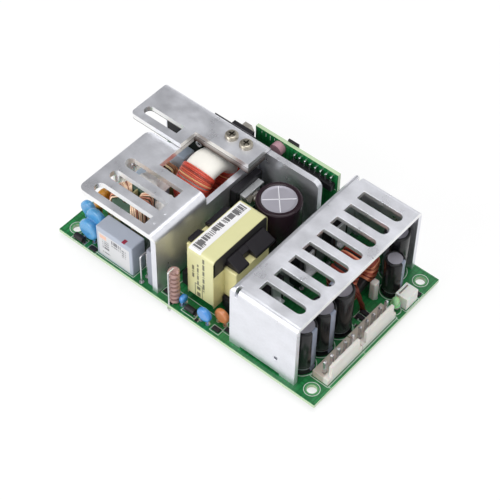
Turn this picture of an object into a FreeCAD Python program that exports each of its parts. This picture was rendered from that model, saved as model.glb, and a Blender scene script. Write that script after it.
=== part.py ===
import FreeCAD, Part
import math
import os

import Sketcher

# Open frame power supply. Millimetres. +X points to the output connectors, +Y to the rear edge, +Z up.
# The origin is the centre of the four mounting holes, on the underside of the board.

# Driving dimensions. Every place on the board follows from these by the formulas below.
SIZES = {
    # circuit board, and the run of parts along its length, from the input end to the output end
    "board_thickness": 1.6,
    "edge_to_plate": 11.6,
    "bobbin_clearance": 3.6,
    "bobbin_span": 25.1,
    "hood_gap": 6.2,
    "hood_length": 30.6,
    "connector_gap": 2.2,
    "connector_width": 7.2,
    "connector_edge": 1.6,
    # the run of parts across the board, from the front edge to the rear edge
    "front_margin": 7.5,
    "band_depth": 30.8,
    "can_gap": 0.5,
    "can_diameter": 18.0,
    "wall_gap": 4.2,
    "control_clearance": 0.3,
    "control_thickness": 1.6,
    "back_margin": 5.0,
    "hole_inset": 5.08,
    "hole_diameter": 3.9,
    "joint_height": 1.9,
    "joint_radius": 0.85,
    "tail_radius": 0.4,
    # fits that many parts share
    "seat_clearance": 0.3,
    "sleeve_clearance": 0.1,
    "foot_gap": 1.0,
    "foot_width": 8.0,
    # input heat sink: a plate on a standing wall, cut open over the boost choke
    "heatsink_sheet": 2.5,
    "bend_radius": 3.5,
    "plate_height": 31.5,
    "plate_front_margin": 1.4,
    "plate_front_depth": 28.2,
    "window_depth": 20.1,
    "window_width": 23.5,
    "free_wall_drop": 5.5,
    "plate_rear_margin": 11.0,
    "neck_width": 4.6,
    "tab_reach": 3.0,
    "corner_radius": 3.0,
    "input_slot_width": 4.8,
    "input_slot_pitch": 8.3,
    "input_slot_count": 3,
    "input_slot_start": 4.3,
    "input_slot_end": 8.0,
    "input_slot_inset": 5.3,
    "dimple_diameter": 0.9,
    "dimple_depth": 0.4,
    "dimple_spacing": 6.0,
    "dimple_from_wall": 5.2,
    # rear heat sink: a long wall with its top bent forward as an arm
    "arm_left_margin": 1.5,
    "arm_depth": 22.4,
    "arm_step_depth": 8.6,
    "arm_wide_length": 26.0,
    "arm_end_overhang": 3.2,
    "arm_corner_radius": 2.0,
    "arm_slot_length": 18.2,
    "arm_slot_width": 4.6,
    "arm_slot_inset": 2.8,
    "arm_slot_front": 3.2,
    "wall_right_reach": 24.8,
    "wall_top_drop": 3.0,
    # screws and nuts
    "screw_head_diameter": 5.4,
    "screw_head_height": 1.7,
    "screw_diameter": 3.0,
    "screw_hole_diameter": 3.4,
    "screw_spacing": 7.2,
    "screw_from_end": 7.0,
    "screw_from_rear": 6.7,
    "screw_length": 6.4,
    "recess_width": 0.7,
    "recess_length": 2.9,
    "recess_depth": 0.9,
    "nut_width": 5.5,
    "nut_height": 2.4,
    "switch_thread_end": 1.6,
    "rear_thread_end": 0.3,
    # output heat sink: a hood with three walls, open towards the connectors
    "hood_sheet": 2.0,
    "hood_height": 32.0,
    "hood_bend": 2.4,
    "hood_front_margin": 2.0,
    "hood_back_margin": 0.8,
    "hood_relief": 1.4,
    "hood_step": 1.3,
    "hood_slot_count": 8,
    "hood_slot_pitch": 8.05,
    "hood_slot_width": 4.4,
    "hood_slot_start": 8.3,
    "hood_slot_end": 3.4,
    "hood_window": 1.6,
    "hood_window_height": 8.0,
    "hood_window_from_left": 21.0,
    "hood_foot_width": 5.0,
    "hood_end_foot": 7.0,
    # transformer
    "core_thickness": 12.3,
    "core_height": 26.0,
    "core_lift": 3.4,
    "core_limb": 5.5,
    "centre_limb": 10.0,
    "tape_thickness": 0.4,
    "flange_thickness": 1.8,
    "flange_chamfer": 6.0,
    "flange_edge_clearance": 0.5,
    "bobbin_tube": 0.9,
    "winding_clearance": 0.3,
    "rail_width": 4.0,
    "pin_count": 5,
    "pin_pitch": 5.0,
    "rail_end": 1.5,
    "notch_reach": 4.0,
    "notch_length": 4.0,
    "notch_offset": 1.0,
    "label_width": 5.6,
    "label_length": 25.0,
    "label_thickness": 0.1,
    "label_margin": 1.4,
    # bulk capacitor
    "can_height": 28.6,
    "can_offset": 3.9,
    "can_lead_pitch": 7.5,
    "sleeve_wall": 0.35,
    "sleeve_lip": 2.1,
    "vent_width": 0.5,
    "vent_depth": 0.25,
    # film capacitors across the line
    "line_margin": 1.5,
    "input_gap": 0.7,
    "film_edge": 0.6,
    "first_film_left": 7.6,
    "first_film_length": 18.6,
    "first_film_depth": 7.4,
    "first_film_height": 15.5,
    "second_film_left": 2.9,
    "second_film_length": 13.1,
    "second_film_depth": 6.9,
    "second_film_height": 19.5,
    "third_film_left": 4.9,
    "third_film_length": 7.9,
    "third_film_depth": 6.5,
    "third_film_height": 19.5,
    "tall_film_length": 3.2,
    "tall_film_depth": 7.0,
    "tall_film_height": 19.5,
    "tall_film_front": 2.7,
    # toroid chokes
    "line_choke_outer": 15.0,
    "line_choke_inner": 7.6,
    "line_choke_width": 11.0,
    "line_choke_lift": 8.5,
    "line_choke_left": 11.0,
    "line_wire": 0.7,
    "keeper_width": 2.8,
    "keeper_thickness": 0.8,
    "filter_choke_outer": 8.6,
    "filter_choke_inner": 4.4,
    "filter_choke_width": 5.5,
    "filter_choke_lift": 7.0,
    "filter_choke_left": 8.4,
    "filter_wire": 0.6,
    "boost_choke_outer": 26.0,
    "boost_choke_inner": 13.0,
    "boost_choke_width": 13.5,
    "boost_choke_gap": 4.0,
    "boost_side_gap": 0.6,
    "boost_pad": 1.2,
    "boost_wire": 1.0,
    "output_choke_outer": 19.0,
    "output_choke_inner": 9.5,
    "output_choke_width": 9.0,
    "output_choke_left": 15.0,
    "output_wire": 1.3,
    # discs, beads and wires at the input end
    "disc_diameter": 9.2,
    "disc_thickness": 3.0,
    "disc_lift": 1.2,
    "first_disc_x": 1.1,
    "first_disc_y": 2.7,
    "second_disc_x": 2.3,
    "second_disc_y": 5.8,
    "second_disc_lift": 5.7,
    "third_disc_x": 4.6,
    "third_disc_y": 8.7,
    "third_disc_diameter": 7.4,
    "third_disc_lift": 4.8,
    "varistor_diameter": 9.0,
    "varistor_thickness": 3.6,
    "varistor_lift": 10.5,
    "varistor_forward": 4.5,
    "thermistor_diameter": 9.0,
    "thermistor_thickness": 4.0,
    "thermistor_lift": 1.5,
    "thermistor_gap": 3.2,
    "thermistor_forward": 4.4,
    "lead_diameter": 0.7,
    "jumper_height": 14.5,
    "jumper_span": 3.4,
    "jumper_from_wall": 5.9,
    "jumper_from_edge": 1.6,
    "fuse_diameter": 5.2,
    "fuse_length": 16.0,
    "fuse_cap": 4.5,
    "fuse_lift": 0.4,
    "bridge_width": 20.0,
    "bridge_height": 13.0,
    "bridge_thickness": 3.6,
    "bridge_lift": 3.0,
    "bridge_front_margin": 11.0,
    "adhesive_length": 8.2,
    "adhesive_depth": 8.2,
    "adhesive_height": 19.5,
    "adhesive_lap": 3.5,
    "adhesive_round": 3.7,
    # power semiconductors
    "switch_width": 15.5,
    "switch_height": 19.0,
    "switch_thickness": 3.0,
    "switch_hole_drop": 7.2,
    "switch_back_gap": 2.1,
    "switch_lift": 5.0,
    "package_width": 10.0,
    "package_height": 15.6,
    "package_thickness": 4.5,
    "package_head": 6.4,
    "package_head_thickness": 2.8,
    "package_lift": 6.5,
    "leg_width": 0.9,
    "leg_thickness": 0.5,
    "leg_pitch": 2.54,
    "switch_leg_pitch": 5.0,
    "clip_sheet": 0.9,
    "clip_width": 11.0,
    "clip_height": 12.5,
    "clip_drop": 7.8,
    "output_clip_rise": 5.2,
    "output_clip_height": 10.9,
    "output_clip_width": 5.0,
    "rear_package_from_end": 16.0,
    "rear_screw_drop": 2.7,
    "insulator_width": 20.4,
    "insulator_height": 19.5,
    "insulator_thickness": 0.3,
    "insulator_shift": 2.3,
    "insulator_lift": 12.7,
    "rectifier_count": 3,
    "rectifier_pitch": 19.0,
    # output capacitors
    "output_can_diameter": 10.0,
    "output_can_height": 23.5,
    "output_can_pitch": 10.8,
    "output_can_overhang": 1.0,
    "output_can_margin": 2.4,
    "small_can_diameter": 8.0,
    "small_can_height": 19.0,
    "small_can_overhang": 4.3,
    "small_can_step": 8.0,
    # connectors
    "pin_size": 1.14,
    "contact_pitch": 3.96,
    "contact_count": 5,
    "contact_height": 9.8,
    "contact_inset": 3.8,
    "connector_base": 3.2,
    "connector_end": 2.2,
    "latch_height": 9.2,
    "latch_thickness": 1.3,
    "latch_end": 1.8,
    "rib_count": 5,
    "rib_width": 0.7,
    "rib_depth": 0.5,
    "connector_front_margin": 9.8,
    "aux_length": 7.0,
    "aux_width": 5.6,
    "aux_height": 6.0,
    "aux_wall": 0.8,
    "aux_floor": 1.2,
    "aux_pitch": 2.5,
    "aux_pin": 0.64,
    "aux_gap": 5.4,
    "aux_edge": 0.7,
    "inlet_edge": 1.0,
    "inlet_centre": 38.0,
    "led_diameter": 3.0,
    "led_height": 4.2,
    "led_lift": 3.0,
    "led_rim": 0.4,
    "led_gap": 2.9,
    "led_shift": 0.8,
    # control board and what it carries
    "control_length": 40.4,
    "control_height": 31.0,
    "control_hood_gap": 4.2,
    "strip_count": 8,
    "strip_pitch": 2.54,
    "strip_height": 3.0,
    "strip_depth": 2.5,
    "strip_drop": 7.8,
    "strip_end": 1.2,
    "strip_rise": 3.4,
    "strip_pin": 0.64,
    "chip_length": 10.0,
    "chip_width": 4.0,
    "chip_thickness": 1.0,
    "front_chip_x": 2.4,
    "front_chip_drop": 9.0,
    "low_chip_end": 8.4,
    "low_chip_drop": 23.5,
    "top_chip_x": 14.6,
    "top_chip_rise": 0.8,
    "back_chip_end": 4.4,
    "back_chip_drop": 14.0,
    "round_diameter": 5.6,
    "round_length": 3.0,
    "round_gap": 3.8,
    "round_drop": 3.4,
    "control_lead_inset": 4.0,
    "control_lead_count": 4,
    # small parts along the front edge and around the output connectors
    "rod_diameter": 4.6,
    "rod_height": 18.5,
    "rod_rib": 0.35,
    "rod_rib_count": 9,
    "rod_from_core": 9.2,
    "rod_from_band": 4.4,
    "bead_diameter": 3.6,
    "bead_thickness": 2.2,
    "bead_from_core": 5.6,
    "bead_from_edge": 4.2,
    "small_disc_diameter": 6.4,
    "small_disc_thickness": 2.4,
    "small_disc_from_core": 6.0,
    "small_disc_from_edge": 2.8,
    "snubber_from_core": 11.4,
    "snubber_from_edge": 6.6,
    "diode_diameter": 2.6,
    "diode_length": 4.2,
    "diode_from_core": 3.1,
    "diode_from_edge": 3.0,
    "diode_from_plate": 3.9,
    "diode_edge_gap": 0.1,
    "block_width": 2.6,
    "block_depth": 3.2,
    "block_height": 9.0,
    "block_inset": 4.4,
    "block_gap": 1.2,
    "surface_length": 3.2,
    "surface_width": 1.8,
    "surface_height": 0.9,
    "first_chip_x": 10.2,
    "first_chip_y": 1.9,
    "second_chip_x": 14.4,
    "second_chip_y": 4.4,
    "third_chip_x": 2.2,
    "third_chip_y": 6.4,
    "fourth_chip_x": 4.4,
    "fourth_chip_y": 9.0,
    "fifth_chip_x": 1.0,
    "fifth_chip_y": 3.4,
    "sixth_chip_x": 4.0,
    "sixth_chip_y": 0.3,
    "seventh_chip_gap": 1.2,
}

# Places worked out from the sizes, each as a formula over the names above.
FORMULAS = {
    "board_length": "edge_to_plate + plate_length + bobbin_clearance + bobbin_span + hood_gap"
                    " + hood_length + connector_gap + connector_width + connector_edge",
    "plate_length": "second_film_left + second_film_length + boost_side_gap + boost_choke_width"
                    " + 2 * boost_wire + winding_clearance + boost_choke_gap + heatsink_sheet",
    "control_gap": "insulator_thickness + control_clearance + max(package_thickness + chip_thickness;"
                   " package_head_thickness + nut_height + rear_thread_end)",
    "left_edge": "-board_length / 2",
    "right_edge": "board_length / 2",
    "plate_left": "left_edge + edge_to_plate",
    "wall_face": "plate_left + plate_length",
    "wall_inner": "wall_face - heatsink_sheet",
    "core_x": "wall_face + bobbin_clearance + bobbin_span / 2",
    "hood_left": "core_x + bobbin_span / 2 + hood_gap",
    "hood_right": "hood_left + hood_length",
    "connector_left": "hood_right + connector_gap",
    "connector_right": "connector_left + connector_width",
    "core_run": "front_margin + band_depth + can_gap + can_diameter + wall_gap",
    "line_choke_reach": "line_choke_outer / 2 + line_wire + winding_clearance",
    "filter_choke_reach": "filter_choke_outer / 2 + filter_wire + winding_clearance",
    "boost_choke_reach": "boost_choke_outer / 2 + boost_wire + winding_clearance",
    "output_choke_reach": "output_choke_outer / 2 + output_wire + winding_clearance",
    "line_run": "line_margin + first_film_depth + 2 * line_choke_reach + second_film_depth"
                " + 2 * filter_choke_reach + third_film_depth + 5 * input_gap",
    "wall_run": "max(core_run; line_run)",
    "board_width": "wall_run + heatsink_sheet + control_gap + control_thickness + back_margin",
    "front_edge": "-board_width / 2",
    "back_edge": "board_width / 2",
    "band_front": "front_edge + front_margin",
    "band_back": "band_front + band_depth",
    "core_y": "band_front + band_depth / 2",
    "wall_front": "front_edge + wall_run",
    "rear_face": "wall_front + heatsink_sheet",
    "control_front": "rear_face + control_gap",
    "can_x": "core_x + can_offset",
    "can_y": "band_back + can_gap + can_diameter / 2",
    "top": "board_thickness",
    "plate_top": "top + plate_height",
    "plate_under": "plate_top - heatsink_sheet",
    "arm_top": "plate_top + heatsink_sheet",
    "free_wall_top": "plate_top - free_wall_drop",
    "plate_front": "front_edge + plate_front_margin",
    "window_front": "plate_front + plate_front_depth",
    "window_back": "window_front + window_depth",
    "window_left": "wall_face - window_width",
    "arm_left": "left_edge + arm_left_margin",
    "arm_front": "rear_face - arm_depth",
    "arm_right": "wall_face + arm_end_overhang",
    "rear_wall_right": "arm_right + wall_right_reach",
    "rear_wall_top": "arm_top - wall_top_drop",
    "screw_y": "rear_face - screw_from_rear",
    "hood_front": "front_edge + hood_front_margin",
    "hood_back": "back_edge - hood_back_margin",
    "hood_depth": "hood_back - hood_front",
    "hood_top": "top + hood_height",
    "hood_inner": "hood_left + hood_sheet",
    "core_bottom": "top + core_lift",
    "core_top": "core_bottom + core_height",
    "core_middle": "core_bottom + core_height / 2",
    "core_length": "band_depth - 2 * tape_thickness",
    "window_span": "core_length - 2 * core_limb",
    "tube_radius": "centre_limb / 2 + sleeve_clearance + bobbin_tube",
    "winding_radius": "window_span / 2 - winding_clearance",
    "lower_flange": "core_bottom + core_limb + sleeve_clearance",
    "upper_flange": "core_top - core_limb - sleeve_clearance - flange_thickness",
    "first_film_front": "front_edge + line_margin",
    "line_choke_x": "plate_left + line_choke_left",
    "line_choke_y": "first_film_front + first_film_depth + input_gap + line_choke_reach",
    "second_film_front": "line_choke_y + line_choke_reach + input_gap",
    "filter_choke_x": "plate_left + filter_choke_left",
    "filter_choke_y": "second_film_front + second_film_depth + input_gap + filter_choke_reach",
    "third_film_front": "filter_choke_y + filter_choke_reach + input_gap",
    "boost_choke_x": "wall_inner - boost_choke_gap - boost_choke_width / 2 - boost_wire",
    "boost_choke_y": "wall_front - input_gap - boost_choke_reach",
    "switch_y": "wall_front - input_gap - switch_back_gap - switch_width / 2",
    "switch_screw_z": "top + switch_lift + switch_height - switch_hole_drop",
    "clip_face": "wall_face + seat_clearance + switch_thickness + clip_sheet",
    "rear_package_x": "arm_right - rear_package_from_end",
    "rear_screw_z": "arm_top - bend_radius - rear_screw_drop",
    "rear_package_face": "rear_face + insulator_thickness + package_head_thickness",
    "output_rectifier_y": "(hood_front + hood_back) / 2 - (rectifier_count - 1) * rectifier_pitch / 2",
    "bridge_y": "front_edge + bridge_front_margin",
    "output_can_x": "hood_right + output_can_overhang - output_can_diameter / 2",
    "output_can_y": "hood_front + hood_sheet + output_can_margin + output_can_diameter / 2",
    "output_choke_x": "hood_left + output_choke_left + output_choke_width / 2",
    "output_choke_y": "output_can_y + 2.5 * output_can_pitch + output_choke_reach + input_gap",
    "rear_can_y": "hood_back - hood_sheet - seat_clearance - output_can_diameter / 2",
    "small_can_x": "hood_right + small_can_overhang - small_can_diameter / 2",
    "small_can_y": "rear_can_y - small_can_step",
    "connector_length": "(contact_count - 1) * contact_pitch + 2 * connector_end",
    "first_connector_y": "front_edge + connector_front_margin",
    "aux_y": "first_connector_y + 2 * connector_length + seat_clearance + aux_gap",
    "contact_x": "connector_left + contact_inset",
    "control_x": "hood_left - control_hood_gap - control_length",
    "control_top": "top + control_height",
}

# The turns of each choke's winding cover the ring between two angles, in degrees.
LINE_CHOKE_ARCS = ((35.0, 145.0), (215.0, 325.0))
FILTER_CHOKE_ARCS = ((-75.0, 255.0),)
BOOST_CHOKE_ARCS = ((108.0, 385.0),)
OUTPUT_CHOKE_ARCS = ((-60.0, 240.0),)
UP = FreeCAD.Vector(0, 0, 1)
ALONG_X = FreeCAD.Vector(1, 0, 0)
ALONG_Y = FreeCAD.Vector(0, 1, 0)

doc = FreeCAD.newDocument("open_frame_supply")
dim = doc.addObject("Spreadsheet::Sheet", "dim")
place = doc.addObject("Spreadsheet::Sheet", "place")
known = {}
nodes = {}
solder_points = []
contacts = []


def fill_sheet():
    row = 1
    for name, value in SIZES.items():
        dim.set("A%d" % row, name)
        dim.set("B%d" % row, str(value))
        dim.setAlias("B%d" % row, name)
        row += 1
    for name, formula in FORMULAS.items():
        dim.set("A%d" % row, name)
        dim.set("B%d" % row, "=" + formula)
        dim.setAlias("B%d" % row, name)
        row += 1
    doc.recompute()


def full(text):
    """A formula over the sheet's names, with the sheet's own name put before each."""
    words = []
    word = ""
    for mark in text + " ":
        if mark.isalnum() or mark == "_":
            word += mark
            continue
        words.append("dim." + word if word in SIZES or word in FORMULAS else word)
        words.append(mark)
        word = ""
    return "".join(words).strip()


def value(text):
    """The number that a formula over the sheet's names gives, worked out in a cell of the second sheet."""
    formula = full(str(text))
    if formula not in known:
        place.set("A1", "=" + formula)
        place.recompute()
        known[formula] = float(place.get("A1"))
    return known[formula]


def bind(item, prop, text):
    item.setExpression(prop, full(str(text)))


def move(item, x, y, z):
    for axis, text in zip("xyz", (x, y, z)):
        bind(item, "Placement.Base." + axis, text)


def turn(item, axis, angle):
    item.Placement = FreeCAD.Placement(FreeCAD.Vector(0, 0, 0), FreeCAD.Rotation(axis, angle))


def keep(label, item):
    """Names a finished sub-part."""
    item.Label = label
    nodes[label] = item
    return item


def solder(x, y):
    solder_points.append((value(x), value(y)))


# Primitives whose sizes and places are formulas.

def block(name, x, y, z, length, width, height):
    item = doc.addObject("Part::Box", name)
    bind(item, "Length", length)
    bind(item, "Width", width)
    bind(item, "Height", height)
    move(item, x, y, z)
    return item


def rod(name, x, y, z, radius, height, axis="z"):
    item = doc.addObject("Part::Cylinder", name)
    if axis == "x":
        turn(item, ALONG_Y, 90)
    if axis == "y":
        turn(item, ALONG_X, -90)
    bind(item, "Radius", radius)
    bind(item, "Height", height)
    move(item, x, y, z)
    return item


def join(name, items):
    item = doc.addObject("Part::MultiFuse", name)
    item.Shapes = items
    return item


def take_away(name, base, tool):
    item = doc.addObject("Part::Cut", name)
    item.Base = base
    item.Tool = tool
    return item


def group(name, items):
    item = doc.addObject("Part::Compound", name)
    item.Links = items
    return item


def shaped(name, shape, x="0", y="0", z="0"):
    """A piece whose form comes from code, placed after its shape is set."""
    item = doc.addObject("Part::Feature", name)
    item.Shape = shape
    spot = FreeCAD.Vector(value(x), value(y), value(z))
    item.Placement = FreeCAD.Placement(spot, FreeCAD.Rotation()).multiply(shape.Placement)
    return item


# Sheet metal and board bodies, made of padded and pocketed sketches.

def body(name):
    return doc.addObject("PartDesign::Body", name)


def origin(owner, role):
    return next(item for item in owner.Origin.OriginFeatures if item.Role == role)


def sketch(owner, name, height, plane="XY_Plane"):
    item = owner.newObject("Sketcher::SketchObject", name)
    item.AttachmentSupport = [(origin(owner, plane), "")]
    item.MapMode = "FlatFace"
    bind(item, "AttachmentOffset.Base.z", height)
    return item


def pin_point(item, edge, point, x, y):
    for kind, text in (("DistanceX", x), ("DistanceY", y)):
        rule = Sketcher.Constraint(kind, -1, 1, edge, point, value(text))
        bind(item, "Constraints[%d]" % item.addConstraint(rule), text)


def outline(item, points):
    first = item.GeometryCount
    corners = [FreeCAD.Vector(value(x), value(y), 0) for x, y in points]
    for here, there in zip(corners, corners[1:] + corners[:1]):
        item.addGeometry(Part.LineSegment(here, there))
    for number in range(len(points)):
        following = first + (number + 1) % len(points)
        item.addConstraint(Sketcher.Constraint("Coincident", first + number, 2, following, 1))
    for number, (x, y) in enumerate(points):
        pin_point(item, first + number, 1, x, y)


def ring(item, x, y, radius):
    centre = FreeCAD.Vector(value(x), value(y), 0)
    edge = item.addGeometry(Part.Circle(centre, UP, value(radius)))
    pin_point(item, edge, 3, x, y)
    rule = Sketcher.Constraint("Radius", edge, value(radius))
    bind(item, "Constraints[%d]" % item.addConstraint(rule), radius)


def corners(left, front, right, back):
    return [(left, front), (right, front), (right, back), (left, back)]


def pad(owner, name, points, bottom, height):
    profile = sketch(owner, name + "_outline", bottom)
    outline(profile, points)
    item = owner.newObject("PartDesign::Pad", name)
    item.Profile = profile
    bind(item, "Length", height)
    owner.Tip = item
    doc.recompute()
    return item


def pocket(owner, name, profile, depth):
    before = owner.Shape.Volume
    item = owner.newObject("PartDesign::Pocket", name)
    item.Profile = profile
    bind(item, "Length", depth)
    owner.Tip = item
    doc.recompute()
    if not owner.Shape.Volume < before:
        raise RuntimeError(name + " cuts nothing")
    return item


def cut_below(owner, name, points, height, depth):
    """Takes a prism away, from a height downwards."""
    profile = sketch(owner, name + "_outline", height)
    outline(profile, points)
    return pocket(owner, name, profile, depth)


def drill(owner, name, centres, radius, height, depth):
    profile = sketch(owner, name + "_rings", height)
    for x, y in centres:
        ring(profile, x, y, radius)
    return pocket(owner, name, profile, depth)


def near(first, second):
    return abs(first - second) < 0.001


def fillet(owner, name, radius, test):
    tip = owner.Tip
    names = ["Edge%d" % (i + 1) for i, edge in enumerate(tip.Shape.Edges) if test(edge.BoundBox)]
    if not names:
        raise RuntimeError(name + " finds no edge")
    item = owner.newObject("PartDesign::Fillet", name)
    item.Base = (tip, names)
    bind(item, "Radius", radius)
    owner.Tip = item
    doc.recompute()
    return item


def upright(box, x, y):
    flat = near(box.XLength, 0) and near(box.YLength, 0)
    return flat and near(box.XMin, x) and near(box.YMin, y)


def along_y(box, x, z):
    flat = near(box.XLength, 0) and near(box.ZLength, 0)
    return flat and box.YLength > 1 and near(box.XMin, x) and near(box.ZMin, z)


def along_x(box, y, z):
    flat = near(box.YLength, 0) and near(box.ZLength, 0)
    return flat and box.XLength > 1 and near(box.YMin, y) and near(box.ZMin, z)


def repeat(owner, name, originals, role, count, spacing):
    item = owner.newObject("PartDesign::LinearPattern", name)
    item.Originals = originals
    item.Direction = (origin(owner, role), [""])
    item.Mode = "Spacing"
    bind(item, "Occurrences", count)
    bind(item, "Offset", spacing)
    owner.Tip = item
    doc.recompute()
    return item


# Circuit board and solder

def main_board():
    board = body("main_board")
    pad(board, "laminate", corners("left_edge", "front_edge", "right_edge", "back_edge"), "0",
        "board_thickness")
    reach_x = "(right_edge - hole_inset)"
    reach_y = "(back_edge - hole_inset)"
    centres = [(sx + reach_x, sy + reach_y) for sx in ("", "-") for sy in ("", "-")]
    drill(board, "mounting_holes", centres, "hole_diameter / 2", "board_thickness", "board_thickness")
    keep("main_board", board)


def solder_joints():
    height = value("joint_height")
    cones = []
    for x, y in solder_points:
        cone = Part.makeCone(value("tail_radius"), value("joint_radius"), height)
        cone.translate(FreeCAD.Vector(x, y, -height))
        cones.append(cone)
    keep("solder_joints", shaped("solder_joints", Part.makeCompound(cones)))


# Heat sinks

def input_heatsink():
    sink = body("input_heatsink")
    pad(sink, "bent_sheet", corners("plate_left", "plate_front", "wall_face", "window_front"),
        "top", "plate_height")
    x, z = value("wall_face"), value("plate_top")
    fillet(sink, "bend", "bend_radius", lambda box: along_y(box, x, z))
    cut_below(sink, "hollow", corners("plate_left - 1", "plate_front - 1", "wall_inner",
                                      "window_front + 1"),
              "plate_under", "plate_height")
    x, z = value("wall_inner"), value("plate_under")
    fillet(sink, "inner_bend", "bend_radius - heatsink_sheet", lambda box: along_y(box, x, z))
    pad(sink, "free_wall", corners("wall_inner", "window_front", "wall_face", "wall_front - input_gap"),
        "top", "free_wall_top - top")
    rear = "wall_front - bend_radius + heatsink_sheet - seat_clearance"
    pad(sink, "plate_rear", [
        ("plate_left", "window_front"),
        ("window_left", "window_front"),
        ("window_left", "window_back"),
        ("arm_right", "window_back"),
        ("arm_right", rear),
        ("window_left - neck_width", rear),
        ("window_left - neck_width", "window_front + plate_rear_margin"),
        ("plate_left", "window_front + plate_rear_margin"),
    ], "plate_under", "heatsink_sheet")
    x, y = value("plate_left"), value("plate_front")
    fillet(sink, "front_corner", "corner_radius", lambda box: upright(box, x, y))
    y_back = value("window_front + plate_rear_margin")
    fillet(sink, "back_corner", "corner_radius", lambda box: upright(box, x, y_back))
    y = "plate_front + input_slot_inset"
    left = "plate_left + input_slot_start + input_slot_width / 2"
    slot = cut_below(sink, "slot", corners(left, y + " - input_slot_width / 2",
                                           "wall_face - input_slot_end",
                                           y + " + input_slot_width / 2"), "plate_top", "heatsink_sheet")
    end = drill(sink, "slot_end", [(left, y)], "input_slot_width / 2", "plate_top", "heatsink_sheet")
    repeat(sink, "slots", [slot, end], "Y_Axis", "input_slot_count", "input_slot_pitch")
    dimple_x = "wall_face - dimple_from_wall"
    drill(sink, "dimples", [(dimple_x, y), (dimple_x, y + " + dimple_spacing")], "dimple_diameter / 2",
          "plate_top", "dimple_depth")
    holes = [("arm_right - screw_from_end", "screw_y"), ("arm_right - screw_from_end - screw_spacing",
                                                         "screw_y")]
    drill(sink, "screw_holes", holes, "screw_hole_diameter / 2", "plate_top", "heatsink_sheet")
    cut_below(sink, "foot_gap", corners("wall_inner - 1", "plate_front + foot_width", "wall_face + 1",
                                        "wall_front - input_gap - foot_width"), "top + foot_gap", "foot_gap")
    switch_hole(sink)
    keep("input_heatsink", sink)
    solder("wall_face - heatsink_sheet / 2", "plate_front + foot_width / 2")
    solder("wall_face - heatsink_sheet / 2", "wall_front - input_gap - foot_width / 2")


def switch_hole(sink):
    profile = sketch(sink, "switch_hole_ring", "wall_face", "YZ_Plane")
    ring(profile, "switch_y", "switch_screw_z", "screw_hole_diameter / 2")
    pocket(sink, "switch_hole", profile, "heatsink_sheet")


def rear_heatsink():
    sink = body("rear_heatsink")
    pad(sink, "bent_sheet", corners("arm_left", "arm_front", "arm_right", "rear_face"), "top",
        "arm_top - top")
    y, z = value("rear_face"), value("arm_top")
    fillet(sink, "bend", "bend_radius", lambda box: along_x(box, y, z))
    cut_below(sink, "hollow", corners("arm_left - 1", "arm_front - 1", "arm_right + 1", "wall_front"),
              "arm_top - heatsink_sheet", "arm_top")
    y_in, z_in = value("wall_front"), value("arm_top - heatsink_sheet")
    fillet(sink, "inner_bend", "bend_radius - heatsink_sheet", lambda box: along_x(box, y_in, z_in))
    cut_below(sink, "step", corners("arm_left + arm_wide_length", "arm_front - 1", "arm_right + 1",
                                    "arm_front + arm_step_depth"), "arm_top + 1", "heatsink_sheet + 2")
    pad(sink, "free_wall", corners("arm_right", "wall_front", "rear_wall_right", "rear_face"),
        "top", "rear_wall_top - top")
    x, z_top = value("rear_wall_right"), value("rear_wall_top")
    fillet(sink, "wall_corner", "corner_radius", lambda box: near(box.XMin, x) and near(box.XMax, x)
           and near(box.ZMin, z_top) and near(box.ZMax, z_top))
    x_left, y_front = value("arm_left"), value("arm_front")
    fillet(sink, "arm_corner", "arm_corner_radius", lambda box: upright(box, x_left, y_front))
    middle = "arm_front + arm_slot_front + arm_slot_width / 2"
    left = "arm_left + arm_slot_inset + arm_slot_width / 2"
    right = "arm_left + arm_slot_inset + arm_slot_length"
    cut_below(sink, "slot", corners(left, middle + " - arm_slot_width / 2", right,
                                    middle + " + arm_slot_width / 2"),
              "arm_top", "heatsink_sheet")
    drill(sink, "slot_end", [(left, middle)], "arm_slot_width / 2", "arm_top", "heatsink_sheet")
    holes = [("arm_right - screw_from_end", "screw_y"), ("arm_right - screw_from_end - screw_spacing",
                                                         "screw_y")]
    drill(sink, "screw_holes", holes, "screw_hole_diameter / 2", "arm_top", "heatsink_sheet")
    cut_below(sink, "foot_gap", corners("arm_left + foot_width", "wall_front - 1",
                                        "rear_wall_right - foot_width",
                                        "rear_face + 1"), "top + foot_gap", "foot_gap")
    profile = sketch(sink, "rectifier_hole_ring", "-rear_face", "XZ_Plane")
    ring(profile, "rear_package_x", "rear_screw_z", "screw_hole_diameter / 2")
    pocket_back(sink, "rectifier_hole", profile, "heatsink_sheet")
    keep("rear_heatsink", sink)
    solder("arm_left + foot_width / 2", "rear_face - heatsink_sheet / 2")
    solder("rear_wall_right - foot_width / 2", "rear_face - heatsink_sheet / 2")


def pocket_back(owner, name, profile, depth):
    """A pocket whose way is turned round, for a sketch on the far face of a wall."""
    before = owner.Shape.Volume
    item = owner.newObject("PartDesign::Pocket", name)
    item.Profile = profile
    item.Reversed = True
    bind(item, "Length", depth)
    owner.Tip = item
    doc.recompute()
    if not owner.Shape.Volume < before:
        raise RuntimeError(name + " cuts nothing")
    return item


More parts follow.
